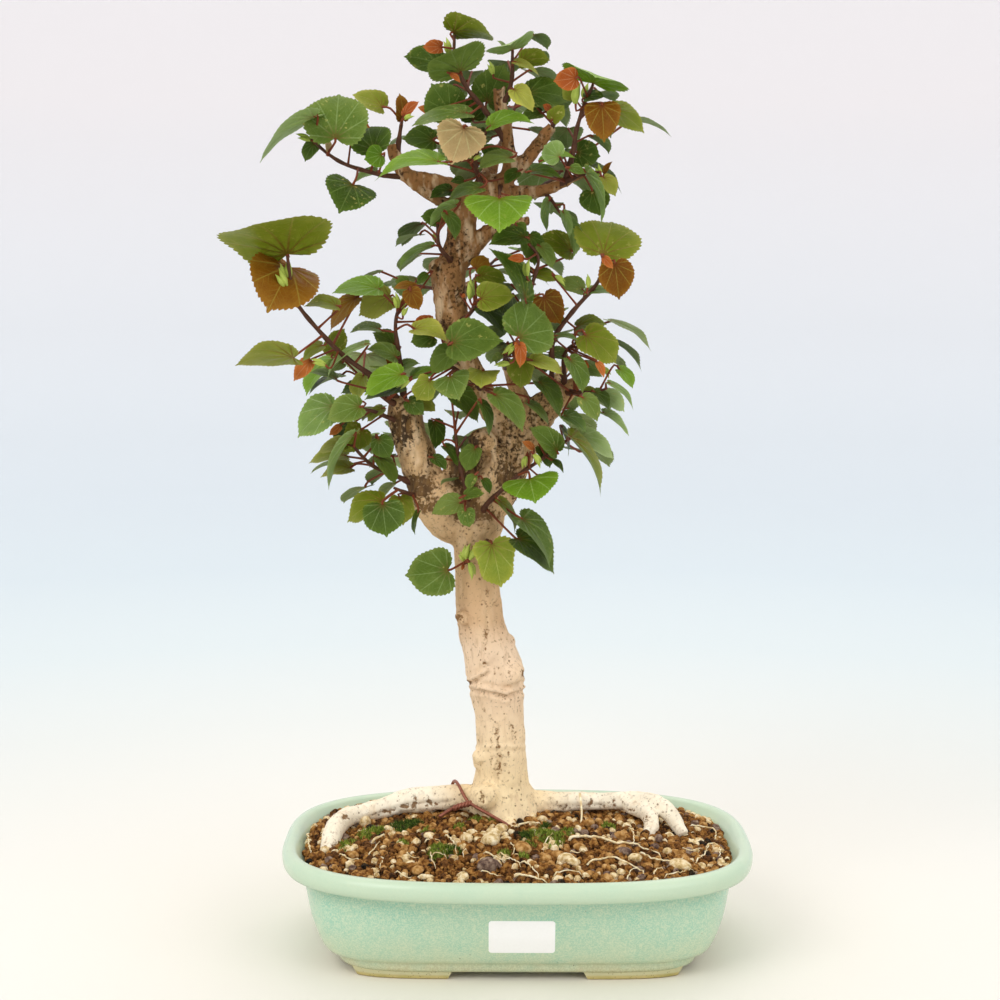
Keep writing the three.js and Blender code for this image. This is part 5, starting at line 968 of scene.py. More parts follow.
# The leafy shoots. Red-brown young stems carry heart-shaped leaves on long red stalks. Each row is
# a leaf as the front view shows it: x and z of its base and tip, the width seen, the depth of the
# base, its kind, then for a few the depth from base to tip and the slope seen across the blade.
# A negative width is a blade seen from below. Stems: x, z, depth and radius from the wood outwards.
# Kinds: d deep green, g green, b bright, p pale, o olive, n bronze, r young orange, m mottled,
# k with a pinkish underside, u a folded bud.
SHOOTS = [
    ("shoot_far_left_arm",
     [(-59, 408.5, 1, 2.3), (-71, 409, -3, 1.6), (-89.5, 414, -9, 1.4), (-100, 420, -13, 1.3),
      (-109, 428, -16, 1)],
     [(-76, 422, -79, 434, 20, -14, "d"), (-72, 419.5, -81, 417, 11, -6, "b"),
      (-87, 404, -94, 390, 25, -18, "d"), (-75, 411, -87, 405, -4, -8, "p"),
      (-107, 439, -134.5, 415, -4.5, -26, "p"), (-96, 428, -94, 451, 32, -22, "g"),
      (-109, 427, -117, 429, 4, -17, "u"), (-107, 425, -112, 416, 8, -10, "g"),
      (-106, 437, -117, 439.5, 6, -8, "g"), (-100, 421, -101.5, 430, 3, -18, "k"),
      (-84, 436, -78, 433.5, 4, -4, "r")]),
    ("shoot_crown_left_tip",
     [(-64, 419, 0, 2.4), (-62.5, 430, -1, 1.5), (-61, 439, -1, 1.2)],
     [(-61, 438, -62.5, 451, 7, -1, "n"), (-60, 440, -52.5, 447, 5, -3, "r"),
      (-60, 438, -55, 440, 3, -5, "u"), (-71.5, 444, -87, 450, 11, -6, "o")]),
    ("shoot_crown_top_left",
     [(-7, 426, 6, 2.4), (-15, 438, 1, 1.8), (-21, 446, -1, 1.7), (-27, 453, -3, 1.6),
      (-31, 461, -4, 1.5), (-34, 471, -6, 1.3), (-34, 481, -7, 1.1)],
     [(-34.5, 482.3, -14, 480, -9, -7, "o", -14), (-42, 466, -60, 470, -13, 0, "g"),
      (-31, 462.5, -36, 473, -30, -6, "g"), (-41, 474.8, -50.5, 474.8, 7, -8, "r"),
      (-37, 471, -39.5, 479.5, 4, -9, "u"), (-36, 461, -31, 456.5, 3.5, -10, "r"),
      (-36, 441, -46, 456, 20, 5, "d"), (-24, 438, -26, 450, 13, 8, "d"),
      (-46, 442, -53, 444, 4.5, 6, "r"), (-28, 441, -55.5, 434, 9, -8, "g"),
      (-17, 447, -8, 466, 19, 10, "d")]),
    ("shoot_crown_top",
     [(-10, 445, 5, 2.4), (-6, 451, 2, 1.7), (-4, 461, 0, 1.5), (-4, 473, -2, 1.2)],
     [(-4, 473.5, -4.9, 476, -24, -2, "p"), (-7, 474, -12, 478, 2.5, 1, "g"),
      (-14, 461, -17, 467.5, 3.5, 3, "u"), (1, 468, 15.5, 468.5, -9, 2, "o"),
      (-2, 467, 10, 460, 5, -4, "o"), (-3, 453, 7, 442, 10, -8, "m")]),
    ("shoot_crown_front",
     [(-21, 401, 9, 2.6), (-21, 406, 1, 1.9), (-23, 415, -5, 1.7), (-22, 422, -9, 1.5),
      (-17, 433, -12, 1.2)],
     [(-29, 433.5, -35.5, 415, -24, -24, "k"), (-45, 427, -61, 428, 12, 6, "d"),
      (-42.5, 416, -76, 407, 9, -30, "b"), (-46, 417, -60, 415, 6, 6, "d"),
      (-15, 434.5, 7, 437, 9, -18, "b"), (-5, 418, -22, 413, 8, -12, "g"),
      (-12, 418.5, -20, 424, 8, -5, "d"), (-20.5, 402.5, -38, 395.5, 7, -14, "g"),
      (-36, 401, -47, 397.5, 7, -2, "d"), (-25, 416, -26.5, 424, 2.5, -8, "u"),
      (-24, 417, -19.5, 419, 2, -10, "u"), (-29, 406, -36, 406, 5, -4, "d"),
      (-1, 411, -8, 405, 6, -6, "d")]),
    ("shoot_crown_top_right",
     [(24, 406, 5, 2.3), (28, 422, 0, 1.8), (29, 430, -2, 1.6), (31, 438, -3, 1.5),
      (34, 447, -5, 1.4), (38, 456, -6, 1.2)],
     [(38, 456.6, 39, 459.4, -33, -6, "b"), (29, 459, 17.5, 457.5, 11, -10, "r"),
      (29, 446, 31, 457, 3, -8, "u"), (34, 448, 35, 457, 3, -8, "u"),
      (34, 449, 44, 450, 6, 0, "g"), (28, 449, 22, 454, 8, 1, "o"),
      (42.5, 445, 44, 427, 18, -18, "n"), (46.5, 443, 64.5, 431, 12, -6, "o"),
      (30, 421, 42, 419, 14, 8, "d")]),
    ("shoot_crown_stub",
     [(13, 430, 3, 2.4), (17, 434, 1, 1.5), (20, 440, 0, 1.2)],
     [(4, 451, 27, 448, 16, 10, "d"), (16, 443, 12, 445.5, 4, -1, "r"),
      (17, 438, 23, 445, 8, -3, "o"), (17, 441, 6, 446.5, 6, 3, "p"),
      (11, 441, 0, 437, 7, 5, "g")]),
    ("shoot_crown_right",
     [(19, 403.5, 6, 2.4), (33, 410, 0, 1.6), (42, 411, -4, 1.2)],
     [(20.5, 419, 12.5, 424.5, -12, -8, "p"), (12, 416.5, 30, 418.5, 5, -2, "b"),
      (6, 411, 22, 407.5, 6, -5, "d"), (42, 409, 40, 415, 4, -5, "u"),
      (44, 410, 48, 416.5, 3, -4, "n"), (44, 408, 50, 398.5, 8, -7, "o"),
      (38, 401, 42, 388.5, 15, 4, "d"), (34.5, 411, 42.5, 384, -3.5, -16, "p"),
      (26, 413, 34, 410, 6, -3, "g")]),
    ("shoot_crown_right_low",
     [(12, 401, 8, 1.7), (17, 396, 5, 1.3), (21, 390, 4, 1.1)],
     [(15.3, 396, 15, 380, -5.5, 3, "p"), (23, 390, 26, 377, -4, -2, "p"),
      (24.5, 386, 29, 366, -7, 2, "p")]),
    ("leaf_crown_front_bright",
     [(-10, 404, 8, 1.9), (-10.3, 401, -8, 1.2), (-10.5, 398, -22, 1)],
     [(-10.5, 397, -10.5, 379.5, 33, -26, "b"), (-3, 398, 0, 390, 3, -14, "g")]),
    ("shoot_leader_left",
     [(-34, 363, 10, 2.4), (-38, 367, -2, 1.6), (-42, 373, -5, 1.4), (-43, 384, -7, 1.1)],
     [(-33, 394, -47, 382, -4, -22, "p"), (-40, 386, -51.5, 388, 9, 0, "d"),
      (-38, 389, -33, 376, 7, -15, "g"), (-46, 372.5, -63, 361, -3.5, -10, "p"),
      (-44, 375, -46, 380, 2.5, -8, "u")]),
    ("shoot_left_upright",
     [(-60, 286, 3, 3), (-62, 305, -2, 1.8), (-63, 315, -4, 1.7), (-65, 330, -6, 1.5),
      (-63, 342, -7, 1.2)],
     [(-74, 350, -98, 347.5, 10, -12, "b"), (-68, 346, -84, 336, 15, -2, "o"),
      (-55, 329, -37, 323, 8, -18, "m"), (-74, 329, -89, 327.5, 5, -4, "d"),
      (-66, 321, -77, 327, 9, 4, "d"), (-65, 314.5, -80, 319, 8, -9, "g"),
      (-63, 308.5, -52, 311, 5, -11, "g"), (-58, 353, -65, 354, 8, -6, "d"),
      (-55, 351.5, -66, 350.5, 4, -10, "n"), (-57, 349, -52.5, 339, 10, -11, "n"),
      (-48, 358, -53.5, 352.5, 5.5, -5, "d"), (-46, 333, -55.5, 332.5, 7, -10, "r"),
      (-62, 340, -58, 347, 4, -9, "u"), (-64, 340, -66, 348, 3.5, -7, "u"),
      (-61, 336, -58.5, 341, 3, -10, "u"), (-64, 309, -70, 313, 5, 0, "n")]),
    ("shoot_far_left",
     [(-61, 288, 3, 2.8), (-70, 299, -7, 1.9), (-80, 306, -13, 1.8), (-93, 315.5, -19, 1.7),
      (-107, 330, -25, 1.6), (-117, 343, -29, 1.5), (-120, 355, -31, 1.4), (-121.5, 367, -32, 1.3)],
     [(-121.5, 368, -139, 383, -53, -28, "o", -38, 14), (-120, 361, -132.5, 337, 35, -22, "n"),
      (-122, 353, -123, 366, 8, -35, "u"), (-122.5, 351, -127.5, 360, 6, -36, "u"),
      (-118, 342, -127, 345, 1.6, -31, "u"), (-114, 343, -111.5, 352, 1.8, -28, "u"),
      (-96, 341, -113, 341, 7, -16, "o"), (-86, 345, -99, 328, 9, -10, "n"),
      (-98, 315.5, -92, 329, 12, -12, "o"), (-104, 320, -114, 312, 6, -22, "o"),
      (-119, 314, -149, 309, -14, -34, "o"), (-110, 312, -118.5, 301.5, 8, -27, "r"),
      (-102, 310, -110, 312, 3.5, -23, "u"), (-93, 311, -103, 306, 7, -15, "d"),
      (-81, 320.5, -102, 304, 3.5, -20, "p")]),
    ("shoot_left_outer",
     [(-61, 288, 0, 2.8), (-70, 292, -8, 1.7), (-78, 299, -12, 1.4)],
     [(-62, 305, -81, 294, 12, -28, "b"), (-62, 299, -81, 291.5, 8, -18, "d"),
      (-82, 304, -85, 291, 8, -12, "m"), (-81, 298, -94, 295.5, 6, -6, "d"),
      (-97, 303, -110, 306, 3, -10, "g"), (-58, 302, -64, 297, 4, -24, "u")]),
    ("shoot_left_mid",
     [(-57, 278, 3, 2.8), (-68, 282, -4, 1.7), (-78, 286, -8, 1.4), (-88, 287, -12, 1.1)],
     [(-98, 288, -117, 272, 17, -18, "p"), (-84, 288, -101, 281.5, 13, -20, "g"),
      (-94, 278, -100, 273, 5, -14, "r"), (-89, 278, -96, 266, 9, -6, "d"),
      (-83, 276, -92, 264, 14, 2, "o"), (-84, 291, -93, 292, 5, -8, "n"),
      (-72, 287, -80, 280, 5, 0, "o")]),
    ("shoot_left_low",
     [(-52, 246, 4, 2.8), (-64, 251, -2, 1.7), (-76, 256, -6, 1.5), (-83, 262, -9, 1.3),
      (-88, 268, -11, 1.1)],
     [(-87.5, 273, -100, 244, -4, -18, "p"), (-92, 262, -111, 258, 6, -8, "o"),
      (-92, 268, -106, 263.5, 7, -4, "o"), (-89, 255.5, -105, 250.5, 6, -12, "o"),
      (-74, 261, -65, 247, 6, -10, "d"), (-74, 271, -68, 261, 11, -4, "g")]),
    ("shoot_left_hanging",
     [(-49, 240, 4, 2.8), (-58, 242, -9, 1.6), (-66, 245, -14, 1.2)],
     [(-72, 238, -91, 227, 11, -14, "o"), (-72, 236, -70, 219, 21, -22, "g"),
      (-63, 240, -61, 225, 13, -8, "o"), (-53, 232, -55, 220, 3, -17, "d")]),
    ("sprout_trunk_left",
     [(-24, 205, 8, 2.6), (-28, 206, -5, 1.6), (-29, 209, -7, 1.1)],
     [(-37.5, 201, -60, 198, 25, -10, "g"), (-28, 207, -26, 216, 3.5, -8, "u"),
      (-29, 206, -32, 211, 3, -7, "u"), (-26, 207, -18.5, 214, 3, -9, "u"),
      (-26, 205, -24, 196, 3.5, -10, "u"), (-29, 204, -30, 201, 2, -8, "r")]),
    ("sprout_trunk_front",
     [(-18, 216, 8, 2), (-16.5, 217, -8, 1.3), (-15, 216.5, -12, 1)],
     [(-14, 215, -9, 192, 21, -15, "m")]),
    ("shoot_right_low",
     [(-20, 230, 6, 2.6), (-17, 236, -10, 1.8), (-10, 243, -12, 1.6), (0, 252, -11, 1.5),
      (10, 259, -9, 1.4), (20, 266, -8, 1.3), (27, 272, -7, 1.1)],
     [(0, 218, 19.5, 200, 12, -10, "d"), (2, 228.5, 18, 204, 10, -22, "g"),
      (-10, 238, -1, 222, 4, -18, "o"), (6, 250, 9, 237, 27, -24, "b"),
      (27.5, 272, 43.5, 241, 5, -14, "o"), (32, 272.5, 50.5, 260, 9, -6, "p"),
      (20, 265, 6, 277, 11, -16, "g"), (12, 267, 17, 256, 8, -4, "d"),
      (8, 266, 2, 270, 4, -18, "r"), (4, 262, 3, 255, 3, -16, "u"),
      (8, 263, 12, 256, 3, -20, "u"), (23, 277, 26, 262, 3, -2, "d"),
      (18, 260, 24, 253.5, 3.5, -14, "d"), (10, 252, 15, 246, 3.5, -8, "d")]),
    ("sprout_crotch",
     [(-24, 232, 6, 2.4), (-28, 245, -7, 1.6), (-32, 262, -8, 1.4), (-34, 280, -8, 1.2)],
     [(-34, 296, -21.5, 280, 11, -14, "d"), (-20, 290, -16, 273, 5, -20, "g"),
      (-23, 266, -28, 254, 10, -12, "d"), (-39, 267, -32, 257, 4, -10, "d"),
      (-45, 280, -44, 266, 8, -8, "d"), (-45, 261, -38, 255, 5, -12, "g"),
      (-31, 237, -46, 231.5, 10, -14, "g"), (-28, 233, -26, 224, 9, -17, "g"),
      (-23, 252, -27, 244, 6, -16, "d"), (-28, 241, -18, 242, 5, -20, "d"),
      (-19, 250, -15, 242, 5, -18, "d")]),
    ("shoot_centre",
     [(-20, 297, 10, 2.4), (-22, 300, -6, 1.6), (-30, 306, -10, 1.4), (-40, 312, -12, 1.2)],
     [(-12.5, 294.5, 3, 276, 10, -30, "g"), (11, 301, 22, 284, 8, -6, "d"),
      (5, 290, 16, 278, 3.5, -8, "g"), (-36, 304, -31.5, 292, 18, -28, "g"),
      (-47, 302, -54, 291.5, 12, -18, "m"), (-56, 304, -42, 306, 5, -14, "b"),
      (-19, 307, -20, 298, 17, -26, "m"), (-52, 291, -44, 286, 7, -6, "o"),
      (-58, 291, -50, 284, 9, -14, "g"), (-45, 325, -57, 322, 10, -6, "d"),
      (-35, 317, -46, 306, 12, -6, "d")]),
    ("shoot_right_branch",
     [(24, 296, 17, 3), (30, 296, 4, 1.7), (40, 296, -2, 1.3), (46, 298, -4, 1)],
     [(53, 308, 60.5, 298.5, 6, -2, "b"), (48, 300.5, 61, 287, 3, -8, "p"),
      (40, 296, 48, 287, 6, -6, "g"), (45, 295, 56, 286, 8, -2, "p"),
      (34, 293, 42, 281, 9, -12, "g"), (45, 285, 58, 273, 4, 2, "p"),
      (24.5, 283.5, 36, 275, 6, 0, "p"), (27, 313, 34, 296, 9.5, -16, "g"),
      (7, 312.5, 23, 305, 6, -14, "m"), (31, 308, 44, 304, 5, 4, "g"),
      (33, 296, 41, 297.5, 4, -14, "o")]),
    ("shoot_right_upright_low",
     [(23, 295, 18, 2.8), (24, 304, 12, 1.8), (24, 316, 7, 1.5), (31, 323, 5, 1.2)],
     [(31, 330.5, 46, 332, 7, 6, "o"), (35, 326, 51.5, 311.5, 16, -4, "o"),
      (44, 317, 49, 311.5, 5, -10, "r"), (41, 312, 45, 304, 4.5, -12, "r"),
      (45, 309, 48, 303.5, 3, -9, "u"), (33, 312, 37, 309, 4, 0, "r"),
      (20, 325.5, 31, 323.5, 2.4, -6, "g"), (17, 317, 27, 313.5, 6, 0, "g")]),
    ("shoot_right_tall",
     [(15, 290, 15, 3), (17.5, 307, 2, 1.9), (18, 323, -3, 1.8), (27, 337, -5, 1.7),
      (40, 352, -8, 1.6), (43, 359, -9, 1.4), (44, 368, -10, 1.2)],
     [(44, 368.5, 48.5, 385.5, 31, -10, "o"), (50, 363.5, 52.5, 345, 17, -12, "n"),
      (44, 367, 49, 361, 5, -14, "r"), (44, 357, 50, 364, 5, -16, "u"),
      (33, 350, 20, 353.5, 8, 2, "g"), (36, 348.5, 50, 347.5, 4.5, -4, "p"),
      (36, 351, 35, 358, 2, -6, "u"), (19, 357, 24.5, 352, 3, -4, "u")]),
    ("shoot_centre_right",
     [(-3, 302, 12, 2.6), (0, 318, 2, 1.8), (5, 332, -4, 1.7), (5, 343, -7, 1.6),
      (7, 353, -9, 1.5), (10, 366, -10, 1.3), (4, 375, -12, 1.1)],
     [(27, 370, 9, 377, 11, 2, "o"), (11, 372, 17.5, 361, 7, 6, "g"),
      (8, 358, 20, 354.5, 6, 4, "o"), (3, 345, -15.5, 371, 9, -30, "d"),
      (3, 377, -16, 374, 9, -20, "d"), (5, 378, 8, 362.5, 12, -14, "d"),
      (4, 355, -11, 369, 5, -20, "p"), (2.5, 366, -6, 366, 5, -26, "r"),
      (4, 357, 4.5, 366, 4, -24, "u"), (13, 346, 22, 332, 15, -12, "n"),
      (8, 343, 10, 349, 4, -16, "u"), (14, 335, 17, 344, 4, -17, "u"),
      (-2, 384, 3, 377, 9, -8, "d")]),
    ("shoot_centre_front",
     [(-6, 309, 11, 2.6), (-7, 314, -8, 1.7), (-3, 318, -22, 1.4), (-0.5, 323, -32, 1.1)],
     [(0, 325, 14, 338.5, 28, -34, "g"), (0, 321, 0.5, 309, 6, -36, "r"),
      (-3, 321, -8, 315, 5, -33, "u"), (-9, 316, -14, 312, 4, -26, "g"),
      (-5, 311, -13, 309, 2.4, -28, "u"), (2, 313, 1, 298, 13, -22, "o")]),
    ("shoot_centre_left",
     [(-33, 332, 10, 2.6), (-27, 336, -4, 1.7), (-21, 344, -12, 1.3)],
     [(-35, 322, -8.5, 323, 20, -34, "d"), (-20, 340, -8, 328, 8, -18, "d"),
      (-20, 345, -2.5, 346.5, 14, -24, "o"), (-21, 357, -6.5, 354, 9, -18, "o"),
      (-23, 361, -16, 366, 9, -14, "n"), (-26, 345, -27, 356, 3, -12, "u"),
      (-23, 347, -25, 355, 3, -14, "u"), (-30, 347, -28, 346, 2.5, -6, "r")]),
]
# Shoots at the back: path, count of leaves and their length in mm
BACK_SHOOTS = [
    ("shoot_back_leader", [(-28, 349, 40, 2.6), (-20, 358, 58, 1.6), (-12, 366, 74, 1.2)], 5, 27),
    ("shoot_back_leader_left",
     [(-31, 345, 30, 2.6), (-44, 350, 44, 1.6), (-58, 352, 56, 1.2)], 4, 24),
    ("shoot_back_right", [(23, 307, 50, 2.4), (30, 318, 62, 1.6), (34, 332, 70, 1.2)], 5, 25),
    ("shoot_back_right_low", [(19, 300, 36, 2.6), (16, 288, 52, 1.6), (8, 276, 66, 1.2)], 5, 26),
    ("shoot_back_left", [(-62, 288, 38, 2.4), (-74, 296, 52, 1.6), (-86, 306, 62, 1.2)], 5, 26),
    ("shoot_back_left_low", [(-60, 280, 24, 2.6), (-66, 270, 40, 1.6), (-72, 258, 52, 1.2)], 5, 24),
    ("shoot_back_crown", [(-11, 422, 42, 2.4), (-6, 434, 54, 1.6), (-2, 446, 62, 1.2)], 5, 26),
    ("shoot_back_crown_left",
     [(-15, 413, 28, 2.6), (-30, 420, 42, 1.6), (-44, 426, 54, 1.2)], 5, 25),
    ("shoot_back_crown_right",
     [(8, 400.5, 8, 2.6), (16, 406, 30, 1.7), (24, 414, 48, 1.2)], 5, 24),
    ("shoot_back_trunk", [(-22, 226, 16, 2.8), (-26, 240, 34, 1.7), (-28, 256, 46, 1.3)], 5, 24),
]
YOUNG = "rnu"
FOLD = 0.16  # each half of a blade rises from the rib by this share of its reach
ARCH = 0.09  # the middle stands above base and tip by this share of the length
CLEAR, STALK_CLEAR, STALK_ROOM = 3, 1.3, 0.8  # mm between blades, from stalks, round a stalk
SLIDES = [0, -3, 3, -6, 6, -9, 9, -12, 12, -16, 16, -20, 20]
NEAR_SLIDES = [slide for slide in SLIDES if abs(slide) < 14]
WIDE_FIRST = [18, 11, 0]  # mm of reach: the wide blades take their places first
SPOT_STEP = 3.5
SHOOT_SEED, SEEDS_EACH = 1000, 40


def blade_frame(row, depth):
    """Base, axes and true size of a blade whose base stands at this depth."""
    bx, bz, tx, tz, seen, _, kind, *more = row
    lean, slope = (*more, None, None)[:2] if more else (0, None)
    width = abs(seen) * (depth - EYE[1]) / -EYE[1]
    under = seen < 0
    base = at(bx, bz, depth)
    narrowest, widest = (0.62, 0.95) if kind in YOUNG else (0.9, 1.15)
    flat = at(tx, tz, depth) - base
    seen_length = math.hypot(flat[0], flat[2])
    if not lean and width > widest * seen_length:
        lean = math.sqrt((width / widest) ** 2 - seen_length**2)
        if (flat[2] < 0) != under:
            lean = -lean
    line = at(tx, tz, depth + lean) - base
    length = math.sqrt(line @ line)
    rib = unit(line)
    facing = 1 if under else -1
    if slope is None:
        in_plane = unit(np.array([flat[2], 0, -flat[0]]))
        turn = math.acos(min(1, width / max(width, narrowest * length)))
        ways = [in_plane * math.cos(turn) + np.cross(rib, in_plane) * sign * math.sin(turn)
                for sign in (1, -1)]
    else:
        c, s = math.cos(math.radians(slope)), math.sin(math.radians(slope))
        ways = [unit(np.array([c, -(rib[0] * c + rib[2] * s) / rib[1], s]))]
    ups = [unit(np.cross(rib, way)) for way in ways]
    best = max((-up if up[1] * facing < 0 else up for up in ups), key=lambda up: up[2])
    return {"base": base, "rib": rib, "up": best, "across": unit(np.cross(rib, best)),
            "length": length, "width": max(width, narrowest * length), "kind": kind,
            "under": under}


def blade_point(f, u, v):
    h = FOLD * abs(v) * f["width"] + ARCH * 4 * u * (1 - u) * f["length"]
    return f["base"] + f["rib"] * u * f["length"] + f["across"] * v * f["width"] + f["up"] * h


def blade_spots(f):
    """Points spread over a blade, for keeping it clear of what is already placed."""
    spots = []
    steps, across = (max(2, math.ceil(f[key] / SPOT_STEP)) for key in ("length", "width"))
    for i in range(steps + 1):
        for j in range(across + 1):
            u, v = -0.1 + 1.08 * i / steps, j / across - 0.5
            reach = 0.5 if u < 0.17 else 0.5 * math.sqrt(max(0, (1 - u) / 0.83))
            if abs(v) <= reach + 0.02:
                spots.append(blade_point(f, u, v))
    return np.array(spots)


def draws(seed):
    """Repeatable random shares from 0 to 1."""
    state = seed
    while True:
        state = (state * 1664525 + 1013904223) % 4294967296
        yield state / 4294967296


placed = []


def keep_place(points, radii, shoot, blade, stem=False):
    centre = points.mean(0)
    reach = (np.linalg.norm(points - centre, axis=1) + radii).max()
    placed.append((points, radii, centre, reach, shoot, blade, stem))


def is_clear(points, radius, shoot, blade):
    centre = points.mean(0)
    reach = np.linalg.norm(points - centre, axis=1).max()
    for other, radii, middle, extent, owner, is_blade, is_stem in placed:
        if owner == shoot and (is_stem or (not blade and not is_blade)):
            continue
        room = CLEAR if blade and is_blade else STALK_CLEAR + radius
        if math.dist(centre, middle) > reach + extent + room:
            continue
        apart = ((points[:, None] - other[None]) ** 2).sum(2)
        if (apart < (room + radii[None]) ** 2).any():
            return False
    return True


def along(path, radii, step):
    """Points every few millimetres along a path, with radii between those given."""
    points, out = [], []
    for i in range(len(path) - 1):
        count = max(1, math.ceil(math.dist(path[i], path[i + 1]) / step))
        for j in range(count):
            points.append(path[i] * (1 - j / count) + path[i + 1] * (j / count))
            out.append(radii[i] + (radii[i + 1] - radii[i]) * j / count)
    return np.array([*points, path[-1]]), np.array([*out, radii[-1]])


def spaced(path, step):
    return along(path, [0] * len(path), step)[0]


def joining_point(path, base):
    """The point of the stem nearest to a blade's base, moved a little towards the root."""
    points = spaced(path, 1.5)
    apart = np.linalg.norm(points - base, axis=1)
    best = int(apart.argmin())
    least = apart[best]
    back = min(4, math.floor(least / 6 + 0.5)) if least > 6 else 2 if least < 3 else 0
    return points[max(best - back, min(len(points) - 1, 4))]


def stalk_ways(start, f):
    """Ways for a leaf's stalk: backwards out of the notch, then to the stem behind the lobes."""
    end, rib, up = f["base"], f["rib"], f["up"]
    reach = math.dist(end, start)
    ahead = unit(start - end)
    side = 1 if ahead @ up > 0 else -1
    ways = [[start, end]] if ahead @ rib < -0.45 else []
    ways.append([start, end - 1.8 * rib - 0.9 * up, end])
    for s in (side, -side):
        behind = end + rib * (-0.12 * f["length"] - 2.2) + up * s * 1.2
        half = start * 0.5 + behind * 0.5
        ways.append([start, behind, end])
        ways.append([start, half + up * s * (1 + 0.14 * f["length"]), behind, end])
        for t in (0.35, -0.35):
            ways.append([start, half + f["across"] * t * reach, behind, end])
    return ways


def stalk_path(start, f, spots):
    ways = stalk_ways(start, f)
    for path in ways:
        points = spaced(path, 1.2)
        own = points[np.linalg.norm(points - f["base"], axis=1) > 3]
        if not len(own) or np.linalg.norm(own[:, None] - spots[None], axis=2).min() > 2.4:
            return path
    return ways[len(ways) - 9]


def settle_blade(shoot, frame_for, seed, needed=True):
    """Slides a blade along its line of sight until it meets nothing that was placed before."""
    choice = None
    for slide in SLIDES if needed else NEAR_SLIDES:
        f = frame_for(slide)
        spots = blade_spots(f)
        stalk = stalk_path(joining_point(shoot["path"], f["base"]), f, spots)
        inner = spaced(stalk, 3)[2:-1]
        choice = choice or (f, stalk, spots, inner)
        if is_clear(spots, 0, shoot["name"], True) and (
                not len(inner) or is_clear(inner, STALK_ROOM, shoot["name"], False)):
            choice = f, stalk, spots, inner
            break
    else:
        if not needed:
            return
    f, stalk, spots, inner = choice
    keep_place(spots, np.zeros(len(spots)), shoot["name"], True)
    if len(inner):
        keep_place(inner, np.full(len(inner), STALK_ROOM), shoot["name"], False)
    shoot["blades"].append((f, stalk, seed))


def keep_line(path, row, *owner):
    keep_place(*along(path, [r for *_, r in row], 3), *owner)


for row in WOOD:
    keep_line([at(x, z, y) for x, z, y, _ in row], row, "wood", False)
shoots = [
    {"name": name, "stem": stem, "blades": [], "path": [at(x, z, y) for x, z, y, _ in stem]}
    for name, stem, *_ in SHOOTS + BACK_SHOOTS
]
for shoot in shoots:
    keep_line(shoot["path"], shoot["stem"], shoot["name"], False, True)
for least, most in zip(WIDE_FIRST, (math.inf, *WIDE_FIRST)):
    for s, (_, _, leaves) in enumerate(SHOOTS):
        for i, row in enumerate(leaves):
            reach = max(abs(row[4]), math.hypot(row[2] - row[0], row[3] - row[1]))
            if least <= reach < most:
                settle_blade(shoots[s], lambda slide: blade_frame(row, row[5] + slide),
                             SHOOT_SEED + s * SEEDS_EACH + i)

# Leaves that the front view doesn't show one by one: on the back shoots, then small shaded ones
# behind the shoots of the crown's middle, of which those that find no room are left out
INNER_LEAVES, INNER_LENGTH, INNER_SEED, BACK_SEED = 16, 17, 400, 201
INNER_SPAN, SPROUT_SPAN = 0.7, 0.9  # the share of the stem that they stand on
SPRAY_SEED, SPRAY_EACH = 3000, 20
MIDDLE_SHOOTS = ("shoot_centre", "shoot_crown_front", "shoot_crown_stub", "shoot_crown_top",
                 "shoot_leader", "shoot_left_mid", "shoot_right_up", "shoot_right_branch",
                 "shoot_left_low", "shoot_crown_right_low", "sprout_crotch")
sprays = [(shoot, count, leaf_length, BACK_SEED + i) for i, (shoot, (*_, count, leaf_length))
          in enumerate(zip(shoots[len(SHOOTS):], BACK_SHOOTS))]
sprays += [(shoot, INNER_LEAVES, INNER_LENGTH, INNER_SEED + i)
           for i, shoot in enumerate(shoots[:len(SHOOTS)])
           if shoot["name"].startswith(MIDDLE_SHOOTS)]
for shoot, count, leaf_length, seed in sprays:
    inner = seed >= INNER_SEED
    span = SPROUT_SPAN if "crotch" in shoot["name"] else INNER_SPAN
    draw = draws(seed)
    path = shoot["path"]
    points = spaced(path, 1.5)
    out = unit((path[-1] - path[0]) * (1, 1, 0))
    side = np.array([-out[1], out[0], 0])
    for i in range(count):
        share = span * i / count if inner else 0.35 + 0.65 * (i + 0.5) / count
        start = points[min(len(points) - 1, math.floor(share * (len(points) - 1) + 0.5))]
        swing = (1 if i % 2 else -1) * (0.5 + 0.9 * next(draw))
        rise = 0.35 * next(draw) + 0.1
        drop = -0.25 - 0.7 * next(draw)
        reach = (2 + 6 * next(draw)) if inner else 10 + 12 * next(draw)
        length = leaf_length * (0.72 + 0.42 * next(draw))
        width = length * (0.92 + 0.2 * next(draw))
        kind = "dgdgob"[math.floor(6 * next(draw))]
        outward = unit(out * math.cos(swing) + side * math.sin(swing))
        if inner:
            outward = unit(outward * (1, 0, 1) + (0, abs(outward[1]) + 0.2 + next(draw), 0))
            # inside the crown the olive and bright kinds turn deep green and green: painted shade
            kind = {"o": "d", "b": "g"}.get(kind, kind)
        rib = unit(outward + (0, 0, drop))
        across = unit(np.cross(rib, (0, 0, 1)))
        f = {"rib": rib, "up": unit(np.cross(across, rib)), "across": across, "length": length,
             "width": width, "kind": kind, "under": False}
        settle_blade(
            shoot,
            lambda slide: f | {"base": start + (outward + (0, 0, rise)) * (reach + abs(slide))
                               + (0, 0, slide)},
            SPRAY_SEED + seed * SPRAY_EACH + i, not inner)

